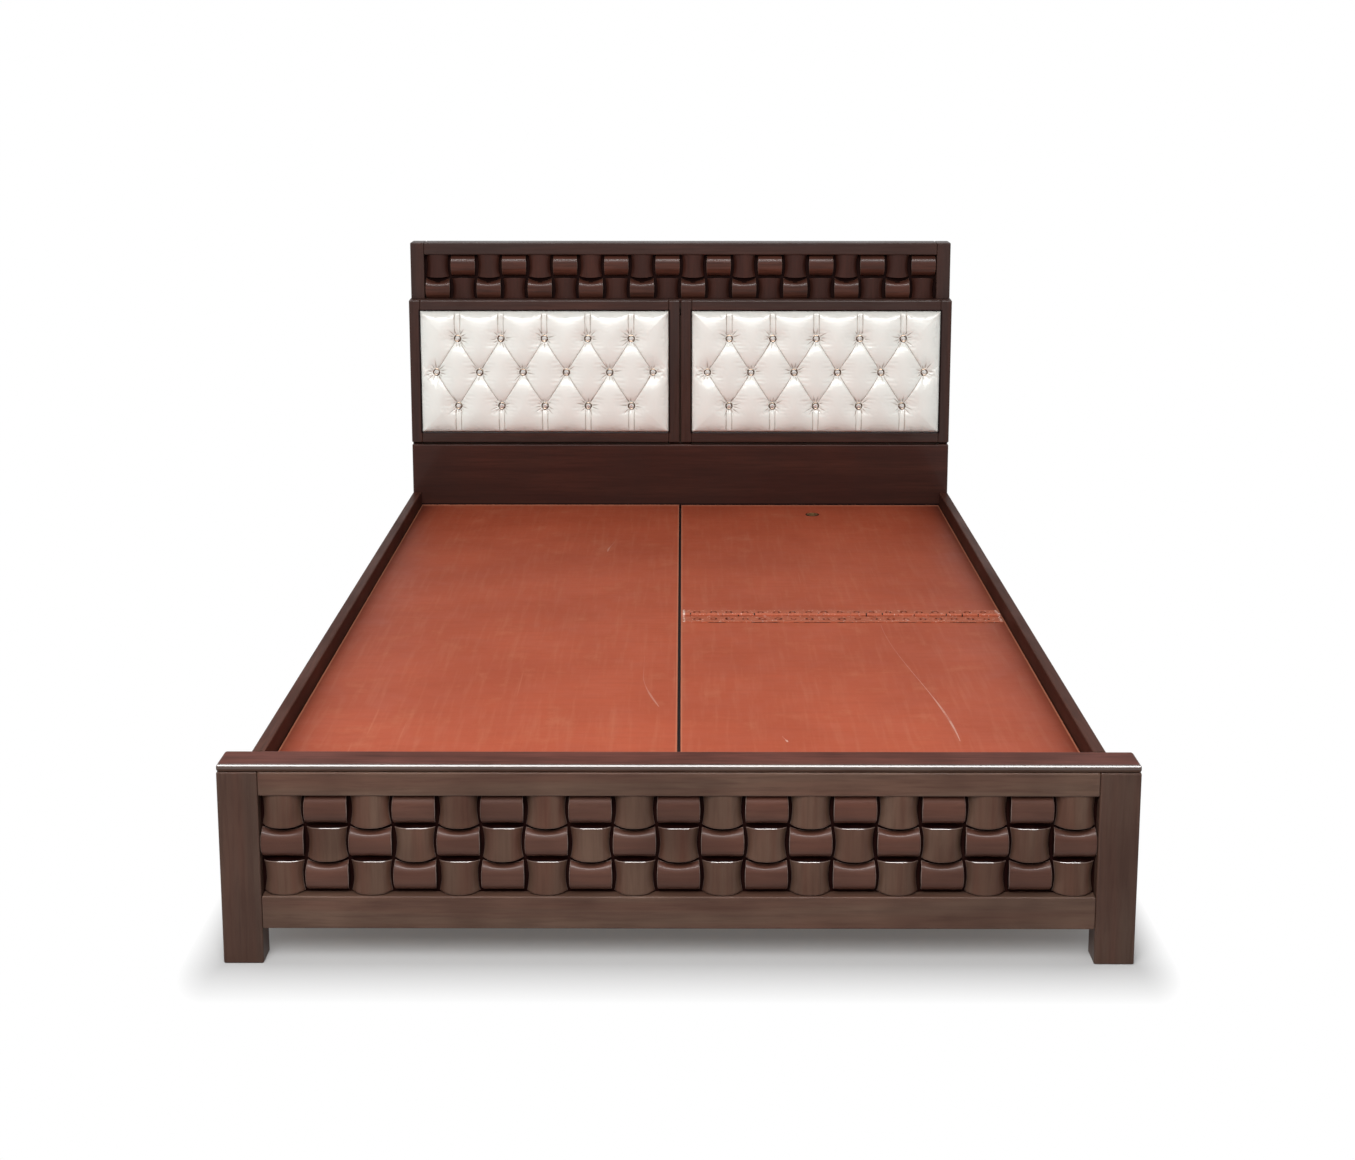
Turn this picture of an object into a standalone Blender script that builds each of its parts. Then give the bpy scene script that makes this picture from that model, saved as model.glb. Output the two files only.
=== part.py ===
"""Storage bed: woven-block footboard and headboard, a hinged lid over the well, two padded headboard doors.

Metres, +Z up, +Y from the footboard to the headboard. The origin is on the floor under the middle of the bed.
"""

import math

import bmesh
import bpy
from mathutils import Matrix, Vector

# Fits
SEAT = 0.0003  # gap between two pieces that bear on each other
RUNNING = 0.0003  # radial gap between a pin and its knuckle
GROUND = -SEAT / 2  # nominal floor plane, so that the trimmed feet stand at zero

# Mattress space
INNER_WIDTH = 1.540
INNER_LENGTH = 2.000
MATTRESS_RECESS = 0.038

# Footboard
POST_WIDTH = 0.075
POST_DEPTH = 0.050
CAP_DEPTH = 0.070
CAP_THICKNESS = 0.014
UPPER_RAIL_HEIGHT = 0.046
LOWER_RAIL_HEIGHT = 0.064
GROUND_CLEARANCE = 0.069

# Woven blocks
FOOT_WEAVE_COLUMNS = 19
FOOT_WEAVE_ROWS = 3
FOOT_WEAVE_ROW = 0.065
HEAD_WEAVE_COLUMNS = 20
HEAD_WEAVE_ROWS = 2
HEAD_WEAVE_ROW = 0.070
WEAVE_BACKING = 0.012
WEAVE_MARGIN = 0.004  # from a cell's border to its block
WEAVE_EDGE = 0.004  # height of a block's low edges above the backing
WEAVE_ARCH = 0.016  # rise of a block from its low edges to its crown
WEAVE_BOW = 0.003  # bulge of an upright block's ends
WEAVE_WAIST = 0.006  # how far an upright block's sides draw in
WEAVE_SEGMENTS = 5
FOOT_WEAVE_RECESS = 0.002  # from the frame's face back to the crowns
HEAD_WEAVE_RECESS = 0.004

# Side rails, bearers and brackets
RAIL_THICKNESS = 0.025
BEARER_THICKNESS = 0.025
BEARER_HEIGHT = 0.045
BRACKET_LEG = 0.050
BRACKET_THICKNESS = 0.003
BRACKET_HEIGHT = 0.040
BRACKET_LIFT = 0.010  # above the well's floor

# Platform and well
PLATFORM_THICKNESS = 0.012
PLATFORM_EDGE_GAP = 0.002
CENTRE_SEAM = 0.0035
HINGE_SEAM = 0.0015
LID_LENGTH = 1.073  # from the hinge line to the headboard
LID_END_GAP = 0.004
FLOOR_THICKNESS = 0.009
BEAM_WIDTH = 0.045
BEAM_HEIGHT = 0.070
CROSS_BEARER_WIDTH = 0.060
CENTRE_LEG_WIDTH = 0.045

# Lid hinge and finger ring
LID_KNUCKLE_RADIUS = 0.004
LID_PIN_RADIUS = 0.002
LID_LEAF_WIDTH = 0.045
LID_LEAF_THICKNESS = 0.0015
LID_KNUCKLES = 9
LID_HINGE_INSET = 0.006
RING_BORE_RADIUS = 0.011
RING_SLEEVE_RADIUS = 0.013
RING_FLANGE_RADIUS = 0.0155
RING_FLANGE_THICKNESS = 0.001
RING_HOLE_CLEARANCE = 0.0005
RING_FROM_HEAD = 0.115
ROUND_STEPS = 24

# Headboard
HEAD_HEIGHT = 1.128
HEAD_POST_WIDTH = 0.040
HEAD_POST_DEPTH = 0.060
HEAD_TOP_RAIL = 0.036
HEAD_MID_RAIL = 0.036
HEAD_BACK_THICKNESS = 0.006
LEDGE_DEPTH = 0.050  # from the doors' face back to the woven band's frame
LEDGE_THICKNESS = 0.012
LOWER_PANEL_TOP = 0.534
LOWER_PANEL_THICKNESS = 0.025
BAY_FLOOR_THICKNESS = 0.018
BAY_DIVIDER_THICKNESS = 0.018

# Doors
DOOR_THICKNESS = 0.022
DOOR_BOTTOM_GAP = 0.005
DOOR_CENTRE_GAP = 0.004
DOOR_BACK_GAP = 0.002
DOOR_FRAME = 0.032
DOOR_BACK_BOARD = 0.006
DOOR_LEAF_WIDTH = 0.020
DOOR_LEAF_THICKNESS = 0.0009
DOOR_PIN_RADIUS = 0.0011
DOOR_KNUCKLES = 5
DOOR_HINGE_INSET = 0.030
CATCH_HALF_WIDTH = 0.030
CATCH_HEIGHT = 0.016
STRIKE_WIDTH = 0.022
STRIKE_INSET = 0.004
STRIKE_THICKNESS = 0.0012

# Tufted pads
PAD_GAP = 0.001  # between the pad and the door's frame
PAD_EDGE_STEP = 0.001  # from the frame's face back to the pad's rim
PAD_CROWN = 0.020  # rise of the pillows from the rim
PAD_TUFT = 0.014  # depth of a pleat below the pillows
PAD_ROLL = 0.040  # width over which the rim rolls up to the crown
BUTTON_COLUMNS = 6  # in the middle row, one fewer in the rows above and below
BUTTON_SIDE_MARGIN = 0.045  # from the pad's side to the outer buttons of the middle row
BUTTON_ROW_MARGIN = 0.079  # from the pad's top or bottom to the next row
BUTTON_RADIUS = 0.0105
BUTTON_FACE_RADIUS = 0.0075
BUTTON_HEIGHT = 0.007
BUTTON_SIDES = 8
BUTTON_SUNK = 0.25  # share of a button's height that sits in the pad
PAD_STEPS = 3  # grid steps between a button and the next one's column or row
PAD_RIM_LINES = (0.35, 0.7, 0.9)  # more grid lines, as shares of the way from the outer buttons to the rim

# Eased edges
TIMBER_EDGE = 0.003
CAP_EDGE = 0.005
PANEL_EDGE = 0.005

# Modelling values
WELD = 0.000001  # points nearer than this are one point
THROUGH_CUT = 4  # length of a cutter that goes right through, in thicknesses of the board
NOTCH_OVERRUN = 0.5  # how far a knuckle's notch is cut past the barrel, as a share of its radius
SHARP_ANGLE = math.radians(40)

# Planes worked out from the sizes above
HALF_INNER = INNER_WIDTH / 2
HALF_OUTER = HALF_INNER + RAIL_THICKNESS
HALF_FOOT = HALF_INNER + POST_WIDTH
HALF_HEAD_OPENING = HALF_OUTER - HEAD_POST_WIDTH

LENGTH = CAP_DEPTH + INNER_LENGTH + LEDGE_DEPTH + HEAD_POST_DEPTH
FOOT_FRONT = -LENGTH / 2
FOOT_INNER = FOOT_FRONT + POST_DEPTH
CAP_BACK = FOOT_FRONT + CAP_DEPTH
HEAD_FRONT = CAP_BACK + INNER_LENGTH
BAND_FRONT = HEAD_FRONT + LEDGE_DEPTH
HEAD_BACK = BAND_FRONT + HEAD_POST_DEPTH
BACK_PANEL_FRONT = HEAD_BACK - HEAD_BACK_THICKNESS
PANEL_BACK = HEAD_FRONT + LOWER_PANEL_THICKNESS
DOOR_BACK = HEAD_FRONT + DOOR_THICKNESS
HINGE_LINE = HEAD_FRONT - LID_LENGTH

LOWER_RAIL_TOP = GROUND_CLEARANCE + LOWER_RAIL_HEIGHT
UPPER_RAIL_BOTTOM = LOWER_RAIL_TOP + FOOT_WEAVE_ROWS * FOOT_WEAVE_ROW
CAP_BOTTOM = UPPER_RAIL_BOTTOM + UPPER_RAIL_HEIGHT
RAIL_TOP = CAP_BOTTOM + CAP_THICKNESS
PLATFORM_TOP = RAIL_TOP - MATTRESS_RECESS
PLATFORM_BOTTOM = PLATFORM_TOP - PLATFORM_THICKNESS
BEARER_BOTTOM = PLATFORM_BOTTOM - BEARER_HEIGHT
BEAM_BOTTOM = PLATFORM_BOTTOM - BEAM_HEIGHT
FLOOR_TOP = GROUND_CLEARANCE + FLOOR_THICKNESS
BAND_TOP = HEAD_HEIGHT - HEAD_TOP_RAIL
BAND_BOTTOM = BAND_TOP - HEAD_WEAVE_ROWS * HEAD_WEAVE_ROW
MID_RAIL_BOTTOM = BAND_BOTTOM - HEAD_MID_RAIL
LEDGE_BOTTOM = BAND_BOTTOM
DOOR_TOP = LEDGE_BOTTOM + LEDGE_THICKNESS
DOOR_BOTTOM = LOWER_PANEL_TOP + DOOR_BOTTOM_GAP
BAY_FLOOR_BOTTOM = LOWER_PANEL_TOP - BAY_FLOOR_THICKNESS

# Joint axes: each runs along X through this point
LID_AXIS = Vector((0, HINGE_LINE, PLATFORM_TOP + SEAT / 2 + LID_KNUCKLE_RADIUS))
DOOR_AXIS = Vector((0, HEAD_FRONT, LOWER_PANEL_TOP + DOOR_BOTTOM_GAP / 2))

SIDES = {"left": -1, "right": 1}
X_AXIS = Vector((1, 0, 0))
Z_AXIS = Vector((0, 0, 1))


def clear_scene():
    """Remove whatever the file holds before the bed is built."""
    for leftover in list(bpy.data.objects):
        bpy.data.objects.remove(leftover, do_unlink=True)


def new_collection(name):
    """A fresh collection in the scene."""
    collection = bpy.data.collections.new(name)
    bpy.context.scene.collection.children.link(collection)
    return collection


def linear(hex_colour):
    """Turn an sRGB hex colour into the linear values that a shader takes."""
    channels = [int(hex_colour[place:place + 2], 16) / 255 for place in (1, 3, 5)]
    return [c / 12.92 if c <= 0.04045 else ((c + 0.055) / 1.055) ** 2.4 for c in channels] + [1.0]


def new_finish(name, hex_colour, roughness, metallic=0.0):
    """A plain Principled finish."""
    material = bpy.data.materials.new(name)
    material.use_nodes = True
    shader = material.node_tree.nodes["Principled BSDF"]
    shader.inputs["Base Color"].default_value = linear(hex_colour)
    shader.inputs["Roughness"].default_value = roughness
    shader.inputs["Metallic"].default_value = metallic
    return material


clear_scene()
PARTS = new_collection("storage_bed")
CUTTERS = new_collection("storage_bed_cutters")

WALNUT = new_finish("dark walnut polish", "#4A2F28", 0.35)
RED_PLY = new_finish("red oxide painted ply", "#A35442", 0.55)
RAW_PLY = new_finish("bare ply", "#B98F66", 0.7)
PINE = new_finish("bare pine batten", "#C7A274", 0.7)
LEATHERETTE = new_finish("pearl leatherette", "#E9E3DC", 0.3)
STEEL = new_finish("zinc plated steel", "#B9B7B2", 0.35, 1.0)
PAINTED_STEEL = new_finish("red oxide painted steel", "#9A4C3B", 0.5)
BRONZE = new_finish("bronzed steel", "#2E221C", 0.4, 1.0)
CATCH_PLASTIC = new_finish("brown catch plastic", "#3B2A22", 0.5)


def finished(bm, name, collection=None, location=(0, 0, 0), finish=None, parent=None):
    """Turn a bmesh into a named object at a place in the bed's frame."""
    mesh = bpy.data.meshes.new(name)
    bm.to_mesh(mesh)
    bm.free()
    piece = bpy.data.objects.new(name, mesh)
    (collection or PARTS).objects.link(piece)
    piece.location = Vector(location)
    if finish:
        mesh.materials.append(finish)
    if parent:
        piece.parent = parent
        piece.location -= parent.location
    return piece


def add_box(bm, low, high):
    """Add a box between two corners to a bmesh."""
    low, high = Vector(low), Vector(high)
    place = Matrix.Translation((low + high) / 2) @ Matrix.Diagonal((*(high - low), 1))
    return bmesh.ops.create_cube(bm, size=1, matrix=place)["verts"]


def board(name, x, y, z, finish, parent=None, edge=0.0, segments=2):
    """A straight board between nominal planes, half a seat gap under size on every face."""
    low = Vector((x[0], y[0], z[0]))
    high = Vector((x[1], y[1], z[1]))
    half_size = (high - low) / 2 - Vector((SEAT, SEAT, SEAT)) / 2
    bm = bmesh.new()
    add_box(bm, -half_size, half_size)
    piece = finished(bm, name, location=(low + high) / 2, finish=finish, parent=parent)
    if edge:
        ease = piece.modifiers.new("Eased edges", "BEVEL")
        ease.width = edge
        ease.segments = segments
        ease.limit_method = "NONE"
    return piece


def hidden_cutter(bm, name, location=(0, 0, 0)):
    """An object that only shapes others."""
    cutter = finished(bm, name, CUTTERS, location)
    cutter.hide_render = True
    cutter.display_type = "WIRE"
    return cutter


def shape_with(piece, cutter, operation="DIFFERENCE"):
    """Cut a piece with a cutter, or join the cutter's shape to it."""
    cut = piece.modifiers.new("Shape", "BOOLEAN")
    cut.operation = operation
    cut.solver = "EXACT"
    cut.object = cutter


def box_cutter(name, low, high):
    """A single box as a cutter."""
    bm = bmesh.new()
    add_box(bm, low, high)
    return hidden_cutter(bm, name)


def add_rod(bm, x_low, x_high, y, z, radius, sides=ROUND_STEPS // 2):
    """Add a round rod along X to a bmesh."""
    place = Matrix.Translation(((x_low + x_high) / 2, y, z)) @ Matrix.Rotation(math.pi / 2, 4, "Y")
    bmesh.ops.create_cone(bm, cap_ends=True, segments=sides, radius1=radius, radius2=radius,
                          depth=x_high - x_low, matrix=place)


def outline_bmesh(points, thickness):
    """A flat outline of (x, y) points as a plate, centred on z = 0."""
    curve = bpy.data.curves.new("outline", "CURVE")
    curve.dimensions = "2D"
    curve.fill_mode = "BOTH"
    curve.extrude = thickness / 2
    spline = curve.splines.new("POLY")
    spline.points.add(len(points) - 1)
    for point, (x, y) in zip(spline.points, points):
        point.co = (x, y, 0, 1)
    spline.use_cyclic_u = True
    sketch = bpy.data.objects.new("outline", curve)
    CUTTERS.objects.link(sketch)
    mesh = bpy.data.meshes.new_from_object(sketch.evaluated_get(bpy.context.evaluated_depsgraph_get()))
    bpy.data.objects.remove(sketch, do_unlink=True)
    bm = bmesh.new()
    bm.from_mesh(mesh)
    bpy.data.meshes.remove(mesh)
    bmesh.ops.remove_doubles(bm, verts=bm.verts, dist=WELD)
    bmesh.ops.recalc_face_normals(bm, faces=bm.faces)
    return bm


def mirrored(side, inner, outer):
    """The span between two distances from the middle, on the left (-1) or the right (1)."""
    return tuple(sorted((side * inner, side * outer)))


def axis_empty(name, place):
    """An empty on a joint's axis, which the moving pieces hang on."""
    empty = bpy.data.objects.new(name, None)
    PARTS.objects.link(empty)
    empty.location = place
    return empty


def split_face(bm, face, direction, places):
    """Cut one flat face across a direction at each place, and return the strips."""
    faces = [face]
    for place in places:
        edges = {edge for item in faces for edge in item.edges}
        verts = {vert for item in faces for vert in item.verts}
        cut = bmesh.ops.bisect_plane(bm, geom=[*faces, *edges, *verts], dist=WELD,
                                     plane_co=direction * place, plane_no=direction)
        faces = [item for item in cut["geom"] if isinstance(item, bmesh.types.BMFace)]
    return faces


def arch_block(bm, face, upright):
    """Raise one cell's face into an arched block: an upright one curves across, a lying one up and down."""
    across, along = (X_AXIS, Z_AXIS) if upright else (Z_AXIS, X_AXIS)
    centre = face.calc_center_bounds()
    half_across = max(abs((vert.co - centre).dot(across)) for vert in face.verts)
    half_along = max(abs((vert.co - centre).dot(along)) for vert in face.verts)
    steps = [2 * step / WEAVE_SEGMENTS - 1 for step in range(1, WEAVE_SEGMENTS)]
    strips = split_face(bm, face, across, [centre.dot(across) + half_across * step for step in steps])
    if upright:
        strips = [half for strip in strips for half in split_face(bm, strip, along, [centre.dot(along)])]
    for vert in {vert for strip in strips for vert in strip.verts}:
        u = (vert.co - centre).dot(across) / half_across
        v = (vert.co - centre).dot(along) / half_along
        vert.co.y -= WEAVE_ARCH * (1 - u * u)
        if upright:
            vert.co -= across * u * WEAVE_WAIST * (1 - v * v)
            vert.co += along * v * WEAVE_BOW * (1 - u * u)


def woven_panel(name, half_width, bottom, columns, rows, row_height, crown):
    """A backing board with a raised block in every cell, upright and lying blocks in turn."""
    width = 2 * half_width - SEAT
    height = rows * row_height - SEAT
    backing_front = crown + WEAVE_ARCH + WEAVE_EDGE
    bm = bmesh.new()
    add_box(bm, (-width / 2, 0, -height / 2), (width / 2, WEAVE_BACKING, height / 2))
    bm.faces.ensure_lookup_table()
    front = min(bm.faces, key=lambda face: face.calc_center_median().y)
    column_lines = [width * (column / columns - 0.5) for column in range(1, columns)]
    row_lines = [height * (row / rows - 0.5) for row in range(1, rows)]
    strips = split_face(bm, front, X_AXIS, column_lines)
    cells = [cell for strip in strips for cell in split_face(bm, strip, Z_AXIS, row_lines)]
    bmesh.ops.inset_individual(bm, faces=cells, thickness=WEAVE_MARGIN)
    raised = bmesh.ops.extrude_discrete_faces(bm, faces=cells)["faces"]
    for face in raised:
        bmesh.ops.translate(bm, verts=face.verts, vec=(0, -WEAVE_EDGE, 0))
    for face in raised:
        middle = face.calc_center_bounds()
        column = math.floor((middle.x / width + 0.5) * columns)
        row_from_top = math.floor((0.5 - middle.z / height) * rows)
        arch_block(bm, face, (column + row_from_top) % 2 == 0)
    place = (0, backing_front, bottom + rows * row_height / 2)
    return finished(bm, name, location=place, finish=WALNUT)


def hinge_leaf(name, x_span, axis, reach, level, radius, plate, width, own, knuckles, finish, parent=None,
               pin_radius=0.0, solid_pin=False):
    """A hinge leaf whose plate is tangent to its barrel.

    reach is the side in Y on which the plate lies, and level the side in Z on which it leaves the barrel. own
    is its first knuckle, and every other one after that is its too. A leaf has a bore, or else a solid pin.
    """
    inner_turn = math.asin((radius - plate) / radius)
    start, end = math.pi / 2, 2 * math.pi + inner_turn
    steps = ROUND_STEPS // 2
    turns = [start + (end - start) * step / steps for step in range(steps + 1)]
    outline = [(radius * math.cos(turn), radius * math.sin(turn)) for turn in turns]
    outline += [(width, radius - plate), (width, radius)]
    length = x_span[1] - x_span[0]
    bm = outline_bmesh([(reach * p, level * q) for p, q in outline], length)
    lay_along_x = Matrix(((0, 0, 1, 0), (1, 0, 0, 0), (0, 1, 0, 0), (0, 0, 0, 1)))
    bmesh.ops.transform(bm, verts=bm.verts, matrix=lay_along_x)
    middle = Vector(((x_span[0] + x_span[1]) / 2, axis.y, axis.z))
    leaf = finished(bm, name, location=middle, finish=finish, parent=parent)

    notches = bmesh.new()
    knuckle = length / knuckles
    beyond = radius * NOTCH_OVERRUN
    for place in range(1 - own, knuckles, 2):
        near = radius + RUNNING
        y_span = sorted((-reach * (radius + beyond), reach * near))
        low = (place * knuckle - length / 2 - RUNNING, y_span[0], -radius - beyond)
        high = ((place + 1) * knuckle - length / 2 + RUNNING, y_span[1], radius + beyond)
        add_box(notches, low, high)
    shape_with(leaf, hidden_cutter(notches, name + "_notches", middle))

    rod = bmesh.new()
    if solid_pin:
        add_rod(rod, -length / 2, length / 2, 0, 0, pin_radius)
        shape_with(leaf, hidden_cutter(rod, name + "_pin", middle), "UNION")
    else:
        add_rod(rod, -length, length, 0, 0, pin_radius + RUNNING)
        shape_with(leaf, hidden_cutter(rod, name + "_bore", middle))
    return leaf


def corner_bracket(name, side, corner_y, inward):
    """A steel angle between a side rail and the board across its end; inward is the rail's side in Y."""
    leg, plate = BRACKET_LEG, BRACKET_THICKNESS
    corner = [(0, 0), (leg, 0), (leg, plate), (plate, plate), (plate, leg), (0, leg)]
    start_x = side * (HALF_INNER - SEAT)
    start_y = corner_y + inward * SEAT
    bm = outline_bmesh([(-side * p, inward * q) for p, q in corner], BRACKET_HEIGHT)
    place = (start_x, start_y, FLOOR_TOP + BRACKET_LIFT + BRACKET_HEIGHT / 2)
    return finished(bm, name, location=place, finish=STEEL)


def build_footboard():
    """Posts, rails, cap and woven panel of the foot end."""
    depth = (FOOT_FRONT, FOOT_INNER)
    full = (-HALF_INNER, HALF_INNER)
    for name, side in SIDES.items():
        board(f"foot_post_{name}", mirrored(side, HALF_INNER, HALF_FOOT), depth, (GROUND, CAP_BOTTOM), WALNUT,
              edge=TIMBER_EDGE)
    board("foot_cap_rail", (-HALF_FOOT, HALF_FOOT), (FOOT_FRONT, CAP_BACK), (CAP_BOTTOM, RAIL_TOP), WALNUT,
          edge=CAP_EDGE, segments=3)
    board("foot_upper_rail", full, depth, (UPPER_RAIL_BOTTOM, CAP_BOTTOM), WALNUT, edge=TIMBER_EDGE)
    board("foot_lower_rail", full, depth, (GROUND_CLEARANCE, LOWER_RAIL_TOP), WALNUT, edge=TIMBER_EDGE)
    woven_panel("foot_woven_panel", HALF_INNER, LOWER_RAIL_TOP, FOOT_WEAVE_COLUMNS, FOOT_WEAVE_ROWS,
                FOOT_WEAVE_ROW, FOOT_FRONT + FOOT_WEAVE_RECESS)
    board("foot_bearer", full, (FOOT_INNER, FOOT_INNER + BEARER_THICKNESS), (BEARER_BOTTOM, PLATFORM_BOTTOM),
          PINE)


def build_side_rails():
    """Rails with the notch that takes the cap's overhang, their bearers and the corner brackets."""
    bearer_run = (FOOT_INNER + BEARER_THICKNESS, HEAD_FRONT - BEARER_THICKNESS)
    notch = box_cutter("cap_notch", (-HALF_FOOT, FOOT_FRONT, CAP_BOTTOM - SEAT / 2),
                       (HALF_FOOT, CAP_BACK + SEAT / 2, RAIL_TOP + CAP_THICKNESS))
    for name, side in SIDES.items():
        rail = board(f"side_rail_{name}", mirrored(side, HALF_INNER, HALF_OUTER), (FOOT_INNER, HEAD_FRONT),
                     (FLOOR_TOP, RAIL_TOP), WALNUT, edge=TIMBER_EDGE)
        shape_with(rail, notch)
        board(f"side_bearer_{name}", mirrored(side, HALF_INNER - BEARER_THICKNESS, HALF_INNER), bearer_run,
              (BEARER_BOTTOM, PLATFORM_BOTTOM), PINE)
        corner_bracket(f"foot_bracket_{name}", side, FOOT_INNER, 1)
        corner_bracket(f"head_bracket_{name}", side, HEAD_FRONT, -1)


def build_well():
    """Floor boards, centre beam and leg, and the bearer under the hinge line."""
    half_leg = CENTRE_LEG_WIDTH / 2
    run = (FOOT_INNER, HEAD_FRONT)
    middle_y = sum(run) / 2
    leg_y = (middle_y - half_leg, middle_y + half_leg)
    notch = box_cutter("leg_notch", (-half_leg - SEAT / 2, leg_y[0] - SEAT / 2, GROUND),
                       (half_leg + SEAT / 2, leg_y[1] + SEAT / 2, BEAM_BOTTOM))
    for name, side in SIDES.items():
        floor = board(f"well_floor_{name}", mirrored(side, 0, HALF_OUTER), run, (GROUND_CLEARANCE, FLOOR_TOP),
                      RAW_PLY)
        shape_with(floor, notch)
    half_beam = BEAM_WIDTH / 2
    beam_run = (FOOT_INNER + BEARER_THICKNESS, HEAD_FRONT - BEARER_THICKNESS)
    board("centre_beam", (-half_beam, half_beam), beam_run, (BEAM_BOTTOM, PLATFORM_BOTTOM), PINE)
    board("centre_leg", (-half_leg, half_leg), leg_y, (GROUND, BEAM_BOTTOM), PINE)
    half_bearer = CROSS_BEARER_WIDTH / 2
    board("cross_bearer", (half_beam, HALF_INNER - BEARER_THICKNESS),
          (HINGE_LINE - half_bearer, HINGE_LINE + half_bearer), (BEARER_BOTTOM, PLATFORM_BOTTOM), PINE)


def build_platform():
    """The two fixed boards, the lid with its finger ring, and the lid's piano hinge."""
    outer = HALF_INNER - PLATFORM_EDGE_GAP
    inner = CENTRE_SEAM / 2
    layer = (PLATFORM_BOTTOM, PLATFORM_TOP)
    board("platform_left", (-outer, -inner), (FOOT_INNER, HEAD_FRONT), layer, RED_PLY)
    board("platform_right_front", (inner, outer), (FOOT_INNER, HINGE_LINE - HINGE_SEAM / 2), layer, RED_PLY)

    axis = axis_empty("lid_axis", LID_AXIS)
    lid_run = (HINGE_LINE + HINGE_SEAM / 2, HEAD_FRONT - LID_END_GAP)
    lid = board("lid", (inner, outer), lid_run, layer, RED_PLY, parent=axis)
    ring_place = Vector(((inner + outer) / 2, HEAD_FRONT - RING_FROM_HEAD, PLATFORM_TOP))
    hole = bmesh.new()
    hole_radius = RING_SLEEVE_RADIUS + RING_HOLE_CLEARANCE
    bmesh.ops.create_cone(hole, cap_ends=True, segments=ROUND_STEPS, radius1=hole_radius, radius2=hole_radius,
                          depth=THROUGH_CUT * PLATFORM_THICKNESS)
    shape_with(lid, hidden_cutter(hole, "finger_hole", ring_place))
    finger_ring(ring_place, axis)

    x_span = (inner + LID_HINGE_INSET, outer - LID_HINGE_INSET)
    barrel = {"axis": LID_AXIS, "level": -1, "radius": LID_KNUCKLE_RADIUS, "plate": LID_LEAF_THICKNESS,
              "width": LID_LEAF_WIDTH, "knuckles": LID_KNUCKLES, "finish": PAINTED_STEEL,
              "pin_radius": LID_PIN_RADIUS}
    hinge_leaf("lid_hinge_fixed_leaf", x_span, reach=-1, own=0, **barrel)
    hinge_leaf("lid_hinge_moving_leaf", x_span, reach=1, own=1, parent=axis, **barrel)
    rod = bmesh.new()
    half_rod = (x_span[1] - x_span[0]) / 2
    add_rod(rod, -half_rod, half_rod, 0, 0, LID_PIN_RADIUS)
    finished(rod, "lid_hinge_pin", location=(sum(x_span) / 2, LID_AXIS.y, LID_AXIS.z), finish=STEEL)


def finger_ring(place, parent):
    """A turned ring: a sleeve in the lid's hole under a thin flange."""
    flange_top = SEAT + RING_FLANGE_THICKNESS
    sleeve_end = -PLATFORM_THICKNESS
    profile = [(RING_BORE_RADIUS, flange_top), (RING_FLANGE_RADIUS, flange_top), (RING_FLANGE_RADIUS, SEAT),
               (RING_SLEEVE_RADIUS, SEAT), (RING_SLEEVE_RADIUS, sleeve_end), (RING_BORE_RADIUS, sleeve_end)]
    bm = bmesh.new()
    ring = [bm.verts.new((radius, 0, height)) for radius, height in profile]
    for first, second in zip(ring, ring[1:] + ring[:1]):
        bm.edges.new((first, second))
    piece = finished(bm, "lid_finger_ring", location=place, finish=STEEL, parent=parent)
    turn = piece.modifiers.new("Turned", "SCREW")
    turn.steps = ROUND_STEPS
    turn.render_steps = ROUND_STEPS
    turn.use_merge_vertices = True
    turn.merge_threshold = WELD
    return piece


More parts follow.
